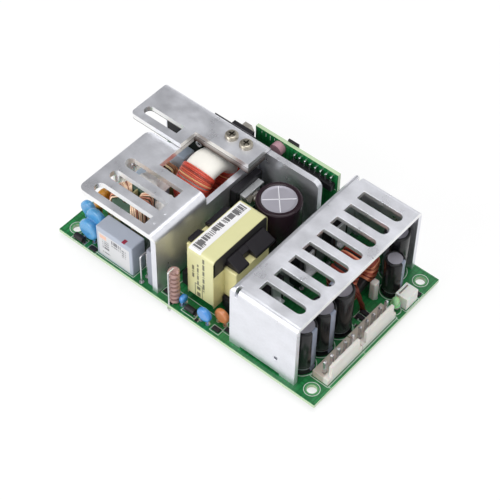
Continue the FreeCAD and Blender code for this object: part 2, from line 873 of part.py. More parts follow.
def output_heatsink():
    hood = body("output_heatsink")
    pad(hood, "bent_sheet", corners("hood_left", "hood_front", "hood_right", "hood_back"), "top",
        "hood_height")
    left, front, back, z = (value(name) for name in ("hood_left", "hood_front", "hood_back", "hood_top"))
    fillet(hood, "bends", "hood_bend",
           lambda box: along_y(box, left, z) or along_x(box, front, z) or along_x(box, back, z))
    cut_below(hood, "hollow", corners("hood_inner", "hood_front + hood_sheet", "hood_right + 1",
                                      "hood_back - hood_sheet"), "hood_top - hood_sheet", "hood_height")
    for name, y_low, y_high in (("front", "hood_front - 1", "hood_front + hood_bend + hood_relief / 2"),
                                ("back", "hood_back - hood_bend - hood_relief / 2", "hood_back + 1")):
        cut_below(hood, name + "_relief", corners("hood_left + hood_bend", y_low,
                                                  "hood_left + hood_bend + hood_relief", y_high),
                  "hood_top + 1", "hood_bend + hood_relief + 1")
    cut_below(hood, "back_step", corners("hood_left - 1", "hood_back - hood_step",
                                         "hood_left + hood_bend + hood_relief", "hood_back + 1"),
              "hood_top + 1", "hood_height + 2")
    middle = "(hood_front + hood_back) / 2"
    first = middle + " - (hood_slot_count - 1) * hood_slot_pitch / 2"
    right = "hood_right - hood_slot_end - hood_slot_width / 2"
    slot = cut_below(hood, "slot", corners("hood_left + hood_slot_start", first + " - hood_slot_width / 2",
                                           right,
                                           first + " + hood_slot_width / 2"), "hood_top", "hood_sheet")
    end = drill(hood, "slot_end", [(right, first)], "hood_slot_width / 2", "hood_top", "hood_sheet")
    repeat(hood, "slots", [slot, end], "Y_Axis", "hood_slot_count", "hood_slot_pitch")
    for name, low, high in (("front", "hood_front - 1", "hood_front + hood_sheet + 1"),
                            ("back", "hood_back - hood_sheet - 1", "hood_back + 1")):
        cut_below(hood, name + "_foot_gap", corners("hood_left + hood_foot_width", low,
                                                    "hood_right - hood_end_foot", high),
                  "top + foot_gap", "foot_gap + 1")
    profile = sketch(hood, "wall_window_outline", "-hood_front", "XZ_Plane")
    low = "top + hood_window_height"
    outline(profile, corners("hood_left + hood_window_from_left", low,
                             "hood_left + hood_window_from_left + hood_window", low + " + hood_window"))
    pocket(hood, "wall_window", profile, "hood_sheet")
    keep("output_heatsink", hood)
    for x in ("hood_left + hood_sheet + hood_foot_width / 4", "hood_right - hood_foot_width / 2"):
        for y in ("hood_front + hood_sheet / 2", "hood_back - hood_step"):
            solder(x, y)


# Fasteners

def pan_screw(name, x, y, z):
    """A screw that points down, its head's flat underside at the given height."""
    radius = value("screw_head_diameter / 2")
    height = value("screw_head_height")
    length = value("screw_length")
    head = Part.makeCylinder(radius, height)
    rim = [edge for edge in head.Edges if near(edge.BoundBox.ZMin,
                                               height) and edge.BoundBox.XLength > radius]
    head = head.makeFillet(height * 0.6, rim[:1])
    shank = Part.makeCylinder(value("screw_diameter / 2"), length, FreeCAD.Vector(0, 0, -length))
    screw = head.fuse(shank)
    wide = value("recess_width")
    long = value("recess_length")
    deep = value("recess_depth")
    for turned in (False, True):
        size = (wide, long) if turned else (long, wide)
        corner = FreeCAD.Vector(-size[0] / 2, -size[1] / 2, height - deep)
        screw = screw.cut(Part.makeBox(size[0], size[1], deep + 1, corner))
    return shaped(name, screw, x, y, z)


def arm_screws():
    items = []
    for number, x in enumerate(("arm_right - screw_from_end",
                                "arm_right - screw_from_end - screw_spacing")):
        items.append(pan_screw("arm_screw_%d" % (number + 1), x, "screw_y", "arm_top"))
    keep("arm_screws", group("arm_screws", items))


def nut_and_bolt(reach, thread_end, headed):
    """A bolt along +X with a hexagon nut near its end; the nut's flat side lies at x = 0."""
    flat = value("nut_width / 2") / math.cos(math.pi / 6)
    points = [FreeCAD.Vector(0, flat * math.cos(a), flat * math.sin(a)) for a in
              [math.pi / 3 * side for side in range(7)]]
    nut = Part.Face(Part.makePolygon(points)).extrude(FreeCAD.Vector(value("nut_height"), 0, 0))
    shank = Part.makeCylinder(value("screw_diameter / 2"), value("nut_height") + thread_end + reach,
                              FreeCAD.Vector(-reach, 0, 0), ALONG_X)
    if not headed:
        return nut.fuse(shank)
    head = Part.makeCylinder(value("screw_head_diameter / 2"), value("screw_head_height"),
                             FreeCAD.Vector(-reach - value("screw_head_height"), 0, 0), ALONG_X)
    return nut.fuse([shank, head])


def device_screws():
    reach = value("heatsink_sheet + seat_clearance + switch_thickness + clip_sheet")
    switch = nut_and_bolt(reach, value("switch_thread_end"), True)
    switch.translate(FreeCAD.Vector(value("clip_face"), value("switch_y"), value("switch_screw_z")))
    reach = value("heatsink_sheet + insulator_thickness + package_head_thickness")
    rear = nut_and_bolt(reach, value("rear_thread_end"), False)
    rear.rotate(FreeCAD.Vector(0, 0, 0), UP, 90)
    rear.translate(FreeCAD.Vector(value("rear_package_x"), value("rear_package_face"),
                                  value("rear_screw_z")))
    keep("device_screws", shaped("device_screws", Part.makeCompound([switch, rear])))


# Power semiconductors

def switch_transistor():
    x = "wall_face + seat_clearance"
    y = "switch_y - switch_width / 2"
    moulding = block("switch_moulding", x, y, "top + switch_lift", "switch_thickness", "switch_width",
                     "switch_height")
    hole = rod("switch_bore", x + " - 1", "switch_y", "switch_screw_z", "screw_hole_diameter / 2",
               "switch_thickness + 2", "x")
    keep("switch_transistor", take_away("switch_package", moulding, hole))
    low = "switch_screw_z - clip_drop"
    clip = block("clip_leaf", x + " + switch_thickness", "switch_y - clip_width / 2",
                 low, "clip_sheet", "clip_width", "clip_height")
    lip = block("clip_lip", x + " + switch_thickness", "switch_y - clip_width / 2",
                low + " + clip_height - clip_sheet", "clip_sheet * 3", "clip_width", "clip_sheet")
    bore = rod("clip_bore", x + " + switch_thickness - 1", "switch_y", "switch_screw_z",
               "screw_hole_diameter / 2", "clip_sheet + 2", "x")
    keep("transistor_clip", take_away("clip_plate", join("clip_sheet_metal", [clip, lip]), bore))


def rear_rectifier():
    sheet = block("insulator_film", "rear_package_x - insulator_shift - insulator_width / 2", "rear_face",
                  "top + insulator_lift", "insulator_width", "insulator_thickness", "insulator_height")
    bore = rod("insulator_bore", "rear_package_x", "rear_face - 1", "rear_screw_z",
               "screw_hole_diameter / 2",
               "insulator_thickness + 2", "y")
    keep("rear_insulator", take_away("insulator_sheet", sheet, bore))
    face = "rear_face + insulator_thickness"
    left = "rear_package_x - package_width / 2"
    low = "rear_screw_z + package_head / 2 - package_height"
    moulding = block("rear_moulding", left, face, low, "package_width", "package_thickness",
                     "package_height - package_head")
    head = block("rear_head", left, face, "rear_screw_z - package_head / 2", "package_width",
                 "package_head_thickness", "package_head")
    hole = rod("rear_bore", "rear_package_x", face + " - 1", "rear_screw_z", "screw_hole_diameter / 2",
               "package_head_thickness + 2", "y")
    keep("rear_rectifier", take_away("rear_package", join("rear_body", [moulding, head]), hole))


def output_rectifiers():
    packages = []
    clips = []
    for number in range(int(value("rectifier_count"))):
        y = "output_rectifier_y + %d * rectifier_pitch" % number
        x = "hood_inner + seat_clearance"
        name = "output_package_%d" % (number + 1)
        moulding = block(name, x, y + " - package_width / 2", "top + package_lift", "package_thickness",
                         "package_width", "package_height")
        packages.append(moulding)
        side = y + " - output_clip_width / 2"
        low = "top + package_lift + output_clip_rise"
        leaf = block(name + "_leaf", x + " + package_thickness", side, low, "clip_sheet",
                     "output_clip_width",
                     "output_clip_height")
        foot = block(name + "_foot", x + " + package_thickness", side, low, "clip_sheet * 3",
                     "output_clip_width", "clip_sheet")
        clips.append(join(name + "_clip", [leaf, foot]))
    keep("output_rectifiers", group("output_packages", packages))
    keep("rectifier_clips", group("output_clips", clips))


def device_legs():
    """The flat legs of every power device, from its body down to the board."""
    legs = []

    def add(name, x, y, length_x, length_y, height):
        legs.append(block(name, x + " - %s / 2" % length_x, y + " - %s / 2" % length_y, "top", length_x,
                          length_y,
                          height))
        solder(x, y)

    for side in (-1, 0, 1):
        add("switch_leg_%d" % (side + 2), "wall_face + seat_clearance + switch_thickness / 2",
            "switch_y + %d * switch_leg_pitch" % side, "leg_thickness", "leg_width", "switch_lift")
        add("rear_leg_%d" % (side + 2), "rear_package_x + %d * leg_pitch" % side,
            "rear_face + insulator_thickness + package_thickness / 2", "leg_width", "leg_thickness",
            "rear_screw_z + package_head / 2 - package_height - top")
        for number in range(int(value("rectifier_count"))):
            add("output_leg_%d_%d" % (number + 1, side + 2),
                "hood_inner + seat_clearance + package_thickness / 2",
                "output_rectifier_y + %d * rectifier_pitch + %d * leg_pitch" % (number, side),
                "leg_thickness", "leg_width", "package_lift")
    for side in (-1.5, -0.5, 0.5, 1.5):
        add("bridge_leg_%d" % (side + 2.5), "wall_inner - seat_clearance - bridge_thickness / 2",
            "bridge_y + bridge_width / 2 + %s * bridge_width / 4" % side, "leg_thickness", "leg_width",
            "bridge_lift")
    keep("device_legs", group("device_leg_set", legs))


def bridge_rectifier():
    moulding = block("bridge_moulding", "wall_inner - seat_clearance - bridge_thickness", "bridge_y",
                     "top + bridge_lift", "bridge_thickness", "bridge_width", "bridge_height")
    keep("bridge_rectifier", moulding)


# Transformer

def transformer_core():
    """Two E halves that meet at mid height."""
    halves = []
    for name, bottom in (("lower", "core_bottom"), ("upper", "core_middle")):
        whole = block(name + "_half_block", "core_x - core_thickness / 2", "core_y - core_length / 2",
                      bottom,
                      "core_thickness", "core_length", "core_height / 2")
        inner = "core_bottom + core_limb" if name == "lower" else "core_middle"
        window = block(name + "_half_window", "core_x - core_thickness / 2 - 1",
                       "core_y - window_span / 2", inner,
                       "core_thickness + 2", "window_span", "core_height / 2 - core_limb")
        limb = rod(name + "_half_limb", "core_x", "core_y", inner, "centre_limb / 2",
                   "core_height / 2 - core_limb")
        halves.append(join(name + "_half", [take_away(name + "_half_frame", whole, window), limb]))
    keep("transformer_core", group("core_halves", halves))


def core_tape():
    outer = block("tape_outside", "core_x - core_thickness / 2", "band_front",
                  "core_bottom - tape_thickness",
                  "core_thickness", "band_depth", "core_height + 2 * tape_thickness")
    inner = block("tape_inside", "core_x - core_thickness / 2 - 1", "core_y - core_length / 2",
                  "core_bottom",
                  "core_thickness + 2", "core_length", "core_height")
    keep("core_tape", take_away("tape_band", outer, inner))


def flange_plate(name, bottom):
    """A flange with its four corners cut off, notched where the outer limbs of the core pass."""
    half_x = value("bobbin_span / 2")
    half_y = value("band_depth / 2 - flange_edge_clearance")
    cut = value("flange_chamfer")
    points = []
    for sx, sy in ((1, -1), (1, 1), (-1, 1), (-1, -1)):
        first = FreeCAD.Vector(sx * (half_x - cut), sy * half_y, 0)
        second = FreeCAD.Vector(sx * half_x, sy * (half_y - cut), 0)
        points += [first, second] if sx * sy < 0 else [second, first]
    plate = Part.Face(Part.makePolygon(points + points[:1])).extrude(UP * value("flange_thickness"))
    notch_x = value("core_thickness + 2 * sleeve_clearance + 2 * tape_thickness")
    inner = value("window_span / 2 - sleeve_clearance")
    deep = value("flange_thickness + 2")
    for side in (-1, 1):
        front = min(side * inner, side * (half_y + 1))
        notch = Part.makeBox(notch_x, half_y + 1 - inner, deep, FreeCAD.Vector(-notch_x / 2, front, -1))
        plate = plate.cut(notch)
    bore = Part.makeCylinder(value("centre_limb / 2 + sleeve_clearance"), deep, FreeCAD.Vector(0, 0, -1))
    plate = plate.cut(bore)
    plate.translate(FreeCAD.Vector(value("core_x"), value("core_y"), value(bottom)))
    return plate


def transformer_bobbin():
    lower = flange_plate("lower", "lower_flange")
    upper = flange_plate("upper", "upper_flange")
    height = value("upper_flange - lower_flange")
    base = FreeCAD.Vector(value("core_x"), value("core_y"), value("lower_flange"))
    tube = Part.makeCylinder(value("tube_radius"), height, base)
    tube = tube.cut(Part.makeCylinder(value("centre_limb / 2 + sleeve_clearance"), height, base))
    rails = []
    wide = value("rail_width")
    reach = value("pin_pitch * (pin_count - 1) + 2 * rail_end")
    for side in (-1, 1):
        left = value("core_x") + side * value("bobbin_span / 2") - (wide if side > 0 else 0)
        corner = FreeCAD.Vector(left, value("core_y") - reach / 2, value("top"))
        rails.append(Part.makeBox(wide, reach, value("lower_flange - top"), corner))
    corner = FreeCAD.Vector(value("core_x + bobbin_span / 2 - notch_reach"), value("core_y + notch_offset"),
                            value("upper_flange - 1"))
    notch = Part.makeBox(value("notch_reach + 1"), value("notch_length"), value("flange_thickness + 2"),
                         corner)
    bobbin = lower.fuse([upper, tube] + rails).cut(notch)
    keep("transformer_bobbin", shaped("transformer_bobbin", bobbin.removeSplitter()))
    for side in ("-", "+"):
        for number in range(int(value("pin_count"))):
            solder("core_x %s (bobbin_span / 2 - rail_width / 2)" % side,
                   "core_y + (%d - (pin_count - 1) / 2) * pin_pitch" % number)


def transformer_winding():
    gap = "sleeve_clearance"
    bottom = "lower_flange + flange_thickness + " + gap
    height = "upper_flange - lower_flange - flange_thickness - 2 * " + gap
    outer = rod("winding_outside", "core_x", "core_y", bottom, "winding_radius", height)
    inner = rod("winding_inside", "core_x", "core_y", bottom, "tube_radius + " + gap, height)
    keep("transformer_winding", take_away("taped_winding", outer, inner))


def transformer_label():
    keep("transformer_label", block("paper_label", "core_x - core_thickness / 2 + label_margin / 4",
                                    "band_front + label_margin * 2", "core_top + tape_thickness",
                                    "label_width",
                                    "label_length", "label_thickness"))


# Capacitors

def bulk_capacitor():
    radius = "can_diameter / 2 - sleeve_wall"
    can = rod("can_body", "can_x", "can_y", "top", radius, "can_height")
    vents = []
    for number, along in enumerate(("x", "y")):
        long = "can_diameter - 2 * sleeve_lip"
        wide = "vent_width"
        size = (long, wide) if along == "x" else (wide, long)
        vents.append(block("vent_%d" % (number + 1), "can_x - (%s) / 2" % size[0],
                           "can_y - (%s) / 2" % size[1],
                           "top + can_height - vent_depth", size[0], size[1], "1"))
    keep("bulk_capacitor", take_away("vented_can", can, join("vent_cross", vents)))
    shell = rod("sleeve_shell", "can_x", "can_y", "top", "can_diameter / 2", "can_height + sleeve_wall")
    bore = rod("sleeve_bore", "can_x", "can_y", "top - 1", radius, "can_height + 1")
    eye = rod("sleeve_eye", "can_x", "can_y", "top", "can_diameter / 2 - sleeve_lip", "can_height + 2")
    keep("bulk_sleeve", take_away("shrunk_sleeve", shell, join("sleeve_space", [bore, eye])))
    solder("can_x - can_lead_pitch / 2", "can_y")
    solder("can_x + can_lead_pitch / 2", "can_y")


def output_capacitors():
    """Three in a row at the front, a small one beside the lamp and one in the rear corner."""
    spots = [("output_can_x", "output_can_y + %d * output_can_pitch" % number, "output_can_diameter",
              "output_can_height") for number in range(3)]
    spots.append(("small_can_x", "small_can_y", "small_can_diameter", "small_can_height"))
    spots.append(("output_can_x - output_can_overhang", "rear_can_y", "output_can_diameter",
                  "output_can_height"))
    cans = []
    sleeves = []
    for number, (x, y, diameter, height) in enumerate(spots):
        name = "output_can_%d" % (number + 1)
        radius = diameter + " / 2 - sleeve_wall"
        cans.append(rod(name, x, y, "top", radius, height))
        shell = rod(name + "_shell", x, y, "top", diameter + " / 2", height + " + sleeve_wall")
        bore = rod(name + "_bore", x, y, "top - 1", radius, height + " + 1")
        eye = rod(name + "_eye", x, y, "top", diameter + " / 2 - sleeve_lip / 2", height + " + 2")
        sleeves.append(take_away(name + "_sleeve", shell, join(name + "_space", [bore, eye])))
        solder(x + " - " + diameter + " / 4", y)
        solder(x + " + " + diameter + " / 4", y)
    keep("output_capacitors", group("output_cans", cans))
    keep("output_sleeves", group("output_can_sleeves", sleeves))


def film_block(name, x, y, length, depth, height):
    """A moulded box standing on the board, its upright and top edges slightly rounded."""
    size = [value(text) for text in (length, depth, height)]
    shape = Part.makeBox(*size)
    edges = [edge for edge in shape.Edges if edge.BoundBox.ZMax > size[2] / 2]
    shape = shape.makeFillet(min(value("film_edge"), min(size) / 3), edges)
    solder(x + " + " + length + " * 0.12", y + " + " + depth + " / 2")
    solder(x + " + " + length + " * 0.88", y + " + " + depth + " / 2")
    return shaped(name, shape, x, y, "top")


def film_capacitors():
    items = []
    for word in ("first", "second", "third"):
        items.append(film_block(word + "_film", "plate_left + %s_film_left" % word, "%s_film_front" % word,
                                "%s_film_length" % word, "%s_film_depth" % word, "%s_film_height" % word))
    keep("line_capacitors", group("line_film_set", items))
    keep("film_capacitor", film_block("tall_film", "wall_inner - input_gap - tall_film_length",
                                      "front_edge + tall_film_front", "tall_film_length", "tall_film_depth",
                                      "tall_film_height"))


def coated_disc(diameter, thickness, lift, axis):
    """A dipped disc standing on its two leads, with the coating run down on to them."""
    radius = value(diameter + " / 2")
    thick = value(thickness)
    rise = value(lift)
    centre = FreeCAD.Vector(0, -thick / 2, rise + radius)
    disc = Part.makeCylinder(radius, thick, centre, ALONG_Y)
    rims = [edge for edge in disc.Edges if edge.BoundBox.XLength > radius and edge.BoundBox.YLength < 0.01]
    disc = disc.makeFillet(thick * 0.4, rims)
    lead = value("lead_diameter / 2")
    parts = []
    for side in (-1, 1):
        foot = FreeCAD.Vector(side * radius * 0.5, 0, 0)
        parts.append(Part.makeCylinder(lead, rise + radius, foot))
        parts.append(Part.makeCone(lead, thick * 0.42, rise + radius * 0.35, foot + UP * (rise * 0.3)))
    shape = disc.fuse(parts).removeSplitter()
    if axis == "x":
        shape.rotate(FreeCAD.Vector(0, 0, 0), UP, 90)
    return shape


def standing_discs(label, spots):
    items = []
    for number, (x, y, diameter, thickness, lift, axis) in enumerate(spots):
        items.append(shaped("%s_%d" % (label, number + 1), coated_disc(diameter, thickness, lift, axis), x,
                            y, "top"))
        offset = " * 0.25"
        for sign in (" - ", " + "):
            if axis == "x":
                solder(x, y + sign + diameter + offset)
            else:
                solder(x + sign + diameter + offset, y)
    keep(label, group(label + "_set", items) if len(items) > 1 else items[0])


def input_discs():
    standing_discs("line_disc_capacitors", [
        ("plate_left + first_disc_x", "first_film_front + first_disc_y", "disc_diameter", "disc_thickness",
         "disc_lift", "y"),
        ("plate_left + second_disc_x", "first_film_front + second_disc_y", "disc_diameter",
         "disc_thickness",
         "second_disc_lift", "y"),
        ("plate_left - third_disc_x", "first_film_front + third_disc_y", "third_disc_diameter",
         "disc_thickness",
         "third_disc_lift", "y"),
    ])
    standing_discs("surge_varistor", [
        ("line_choke_x - line_choke_reach - winding_clearance - varistor_thickness / 2",
         "line_choke_y - varistor_forward", "varistor_diameter", "varistor_thickness", "varistor_lift",
         "x"),
    ])
    standing_discs("thermistor", [
        ("line_choke_x + line_choke_reach + thermistor_gap + thermistor_thickness / 2",
         "line_choke_y - thermistor_forward", "thermistor_diameter", "thermistor_thickness",
         "thermistor_lift",
         "x"),
    ])


def front_discs():
    standing_discs("ceramic_capacitors", [
        ("core_x - bead_from_core", "front_edge + bead_from_edge", "bead_diameter", "bead_thickness",
         "disc_lift",
         "x"),
        ("core_x + small_disc_from_core", "front_edge + small_disc_from_edge", "small_disc_diameter",
         "small_disc_thickness", "disc_lift", "y"),
    ])
    standing_discs("snubber_capacitor", [
        ("core_x + snubber_from_core", "front_edge + snubber_from_edge", "small_disc_diameter",
         "small_disc_thickness", "disc_lift", "y"),
    ])


# Chokes

def choke_ring(outer, inner, width):
    """A toroid on the X axis, its middle at the origin, with its four rims rounded."""
    start = FreeCAD.Vector(-width / 2, 0, 0)
    shape = Part.makeCylinder(outer / 2, width, start, ALONG_X)
    shape = shape.cut(Part.makeCylinder(inner / 2, width, start, ALONG_X))
    rims = [edge for edge in shape.Edges if edge.BoundBox.XLength < 0.01]
    return shape.makeFillet(min(width, outer / 2 - inner / 2) * 0.2, rims)


def choke_turns(outer, inner, width, wire, gap, arcs):
    """The wire as one solid: a thin layer round the ring, with a raised turn at every pitch."""
    reach = outer / 2 + gap
    depth = inner / 2 - gap
    half = width / 2 + gap
    pieces = []
    for first, last in arcs:
        skin = wire * 0.5
        section = Part.Face(Part.makePolygon(frame_points(-half - skin, depth - skin, half + skin,
                                                          reach + skin)))
        section = section.cut(Part.Face(Part.makePolygon(frame_points(-half, depth, half, reach))))
        layer = section.revolve(FreeCAD.Vector(0, 0, 0), ALONG_X, last - first)
        layer.rotate(FreeCAD.Vector(0, 0, 0), ALONG_X, first)
        pitch = math.degrees(2.0 * wire / reach)
        count = max(2, int((last - first) / pitch))
        step = (last - first) / count
        turns = []
        for number in range(count):
            band = Part.Face(Part.makePolygon(frame_points(-half - wire, depth - wire, half + wire,
                                                           reach + wire)))
            band = band.cut(Part.Face(Part.makePolygon(frame_points(-half, depth, half, reach))))
            turn_shape = band.extrude(FreeCAD.Vector(0, 0, wire))
            turn_shape.translate(FreeCAD.Vector(0, 0, -wire / 2))
            turn_shape.rotate(FreeCAD.Vector(0, 0, 0), ALONG_X, first + (number + 0.5) * step)
            turns.append(turn_shape)
        pieces.append(layer.fuse(turns))
    return pieces[0] if len(pieces) == 1 else Part.makeCompound(pieces)


def frame_points(low_x, low_y, high_x, high_y):
    corner_list = [(low_x, low_y), (high_x, low_y), (high_x, high_y), (low_x, high_y), (low_x, low_y)]
    return [FreeCAD.Vector(x, y, 0) for x, y in corner_list]


def choke(label, word, arcs, x, y, z, flat=False):
    outer, inner, width = (value("%s_choke_%s" % (word, part)) for part in ("outer", "inner", "width"))
    core = choke_ring(outer, inner, width)
    turns = choke_turns(outer, inner, width, value(word + "_wire"), value("winding_clearance"), arcs)
    if flat:
        for shape in (core, turns):
            shape.rotate(FreeCAD.Vector(0, 0, 0), ALONG_Y, -90)
    keep(label + "_core", shaped(label + "_core", core, x, y, z))
    keep(label + "_winding", shaped(label + "_winding", turns, x, y, z))
    for side in (" - ", " + "):
        solder(x, y + side + word + "_choke_outer / 4")


def chokes():
    choke("line_choke", "line", LINE_CHOKE_ARCS, "line_choke_x", "line_choke_y",
          "top + line_choke_lift + line_wire + winding_clearance + line_choke_width / 2", True)
    choke("filter_choke", "filter", FILTER_CHOKE_ARCS, "filter_choke_x", "filter_choke_y",
          "top + filter_choke_lift + filter_choke_reach")
    choke("boost_choke", "boost", BOOST_CHOKE_ARCS, "boost_choke_x", "boost_choke_y",
          "top + boost_pad + boost_choke_reach")
    choke("output_choke", "output", OUTPUT_CHOKE_ARCS, "output_choke_x", "output_choke_y",
          "top + output_choke_reach + seat_clearance")
    choke_stands()


def choke_stands():
    """The moulded stands under the two line chokes. The larger has a wall and a keeper between its windings."""
    depth = "(line_choke_outer + 2 * keeper_thickness)"
    base = block("stand_plate", "line_choke_x - line_choke_inner * 0.65",
                 "line_choke_y - line_choke_outer / 2 - sleeve_clearance - keeper_thickness", "top",
                 "line_choke_inner * 1.3", depth, "line_choke_lift - sleeve_clearance")
    wall = block("stand_wall", "line_choke_x - keeper_thickness / 2",
                 "line_choke_y - line_choke_inner / 2 + winding_clearance", "top", "keeper_thickness",
                 "line_choke_inner - 2 * winding_clearance",
                 "line_choke_lift + line_choke_width + 2 * line_wire + 2 * winding_clearance")
    keeper = block("stand_keeper", "line_choke_x - keeper_width / 2",
                   "line_choke_y - line_choke_outer / 2 - sleeve_clearance - keeper_thickness", "top",
                   "keeper_width", "keeper_thickness", "line_choke_lift + line_choke_width")
    small = block("stand_block", "filter_choke_x - filter_choke_width / 2",
                  "filter_choke_y - filter_choke_outer / 3", "top", "filter_choke_width",
                  "filter_choke_outer * 2 / 3", "filter_choke_lift - sleeve_clearance")
    pad_block = block("stand_pad", "boost_choke_x - boost_choke_width / 2",
                      "boost_choke_y - boost_choke_outer / 6",
                      "top", "boost_choke_width", "boost_choke_outer / 3", "boost_pad - sleeve_clearance")
    stand = join("choke_stand", [base, wall, keeper])
    keep("choke_stands", group("choke_stand_set", [stand, small, pad_block]))


# Wires, fuse and small parts

def bent_wire(points, diameter):
    """A round wire along straight runs joined by tangent arcs."""
    radius = diameter
    edges = []
    here = points[0]
    for corner, following in zip(points[1:-1], points[2:]):
        inward = (corner - here).normalize()
        outward = (following - corner).normalize()
        start = corner - inward * radius
        end = corner + outward * radius
        middle = corner + (outward - inward) * (radius * (1 - math.sqrt(0.5)))
        edges.append(Part.LineSegment(here, start).toShape())
        edges.append(Part.Arc(start, middle, end).toShape())
        here = end
    edges.append(Part.LineSegment(here, points[-1]).toShape())
    path = Part.Wire(edges)
    direction = points[1] - points[0]
    profile = Part.Wire([Part.Circle(points[0], direction, diameter / 2).toShape()])
    return path.makePipeShell([profile], True, False)


def jumper_wire():
    wide = value("lead_diameter")
    x, y = value("wall_inner - jumper_from_wall"), value("front_edge + jumper_from_edge")
    low, high = value("top"), value("top + jumper_height")
    span = value("jumper_span")
    points = [FreeCAD.Vector(x, y, low), FreeCAD.Vector(x, y, high), FreeCAD.Vector(x, y + span, high),
              FreeCAD.Vector(x, y + span, low)]
    keep("jumper_wire", shaped("jumper_wire", bent_wire(points, wide)))
    solder("wall_inner - jumper_from_wall", "front_edge + jumper_from_edge")
    solder("wall_inner - jumper_from_wall", "front_edge + jumper_from_edge + jumper_span")


def rod_choke():
    """A wire coil on a ferrite rod, standing on end, with its upper lead brought down in front."""
    radius = value("rod_diameter / 2")
    height = value("rod_height")
    rib = value("rod_rib")
    count = int(value("rod_rib_count"))
    points = [FreeCAD.Vector(0, 0, 0), FreeCAD.Vector(radius - rib, 0, 0)]
    step = height / count
    for number in range(count):
        low = number * step
        points += [FreeCAD.Vector(radius - rib, 0, low), FreeCAD.Vector(radius, 0, low + step * 0.3),
                   FreeCAD.Vector(radius, 0, low + step * 0.7)]
    points += [FreeCAD.Vector(radius - rib, 0, height), FreeCAD.Vector(0, 0, height)]
    unique = [point for i,
              point in enumerate(points) if i == 0 or point.distanceToPoint(points[i - 1]) > 0.001]
    profile = Part.Face(Part.makePolygon(unique + unique[:1]))
    coil = profile.revolve(FreeCAD.Vector(0, 0, 0), UP, 360)
    keep("rod_choke", shaped("rod_choke", coil, "core_x - rod_from_core", "band_front - rod_from_band",
                             "top"))
    wide = value("lead_diameter")
    lead_y = -radius - wide
    lead = bent_wire([FreeCAD.Vector(0, lead_y, 0), FreeCAD.Vector(0, lead_y, height + wide / 2),
                      FreeCAD.Vector(0, 0, height + wide / 2)], wide)
    keep("rod_choke_lead", shaped("rod_choke_lead", lead, "core_x - rod_from_core",
                                  "band_front - rod_from_band", "top"))
    solder("core_x - rod_from_core", "band_front - rod_from_band")
    solder("core_x - rod_from_core", "band_front - rod_from_band - rod_diameter / 2 - lead_diameter")


def axial_diodes():
    items = []
    spots = (("core_x - diode_from_core", "front_edge + diode_from_edge"),
             ("plate_left - diode_from_plate", "front_edge + diode_diameter / 2 + diode_edge_gap"))
    for number, (x, y) in enumerate(spots):
        name = "diode_%d" % (number + 1)
        middle = "top + diode_diameter / 2"
        barrel = rod(name + "_barrel", x, y, middle, "diode_diameter / 2", "diode_length", "x")
        left = block(name + "_left_leg", x + " - lead_diameter", y + " - lead_diameter / 2", "top",
                     "lead_diameter * 1.2", "lead_diameter", "diode_diameter / 2")
        right = block(name + "_right_leg", x + " + diode_length - lead_diameter * 0.2",
                      y + " - lead_diameter / 2",
                      "top", "lead_diameter * 1.2", "lead_diameter", "diode_diameter / 2")
        items.append(join(name, [barrel, left, right]))
        solder(x + " - lead_diameter / 2", y)
        solder(x + " + diode_length + lead_diameter / 2", y)
    keep("axial_diodes", group("diode_set", items))


def fuse():
    x = "left_edge + inlet_edge + connector_width + fuse_diameter / 2 + input_gap"
    y = "second_film_front"
    z = "top + fuse_diameter / 2 + fuse_lift"
    tube = rod("fuse_tube", x, y + " + fuse_cap", z, "fuse_diameter / 2 - sleeve_wall",
               "fuse_length - 2 * fuse_cap", "y")
    items = [tube]
    for name, start in (("front", y), ("back", y + " + fuse_length - fuse_cap")):
        cap = rod("fuse_cap_" + name, x, start, z, "fuse_diameter / 2", "fuse_cap", "y")
        post = block("fuse_post_" + name, x + " - lead_diameter / 2",
                     start + " + fuse_cap / 2 - lead_diameter / 2",
                     "top", "lead_diameter", "lead_diameter", "fuse_lift + lead_diameter")
        items.append(join("fuse_end_" + name, [cap, post]))
        solder(x, start + " + fuse_cap / 2")
    keep("fuse", group("fuse_set", items))


def adhesive():
    """A rounded mass of set silicone that holds the second film capacitor against the choke."""
    size = [value(text) for text in ("adhesive_length", "adhesive_depth", "adhesive_height")]
    shape = Part.makeBox(*size)
    edges = [edge for edge in shape.Edges if edge.BoundBox.ZMax > size[2] / 2]
    shape = shape.makeFillet(min(value("adhesive_round"), min(size) * 0.45), edges)
    keep("silicone_adhesive", shaped("silicone_adhesive", shape,
                                     "plate_left + second_film_left + second_film_length + input_gap",
                                     "second_film_front - adhesive_depth + adhesive_lap", "top"))


def surface_parts():
    """Low chips and resistors soldered on the board's top, and one upright resistor by the lamp."""
    spots = [("core_x + first_chip_x", "front_edge + first_chip_y"),
             ("core_x + second_chip_x", "front_edge + second_chip_y"),
             ("hood_right - third_chip_x", "output_choke_y - third_chip_y"),
             ("connector_left - fourth_chip_x", "output_choke_y - fourth_chip_y"),
             ("wall_face + fifth_chip_x", "front_edge + fifth_chip_y"),
             ("plate_left + sixth_chip_x", "front_edge + sixth_chip_y"),
             ("right_edge - aux_edge - surface_length", "aux_y + aux_length + seventh_chip_gap")]
    items = []
    for number, (x, y) in enumerate(spots):
        items.append(block("surface_part_%d" % (number + 1), x, y, "top", "surface_length", "surface_width",
                           "surface_height"))
    keep("surface_parts", group("surface_set", items))
    keep("output_resistor", film_block("output_resistor", "hood_right - block_inset",
                                       "small_can_y - small_can_diameter / 2 - block_depth - block_gap",
                                       "block_width",
                                       "block_depth", "block_height"))


# Connectors

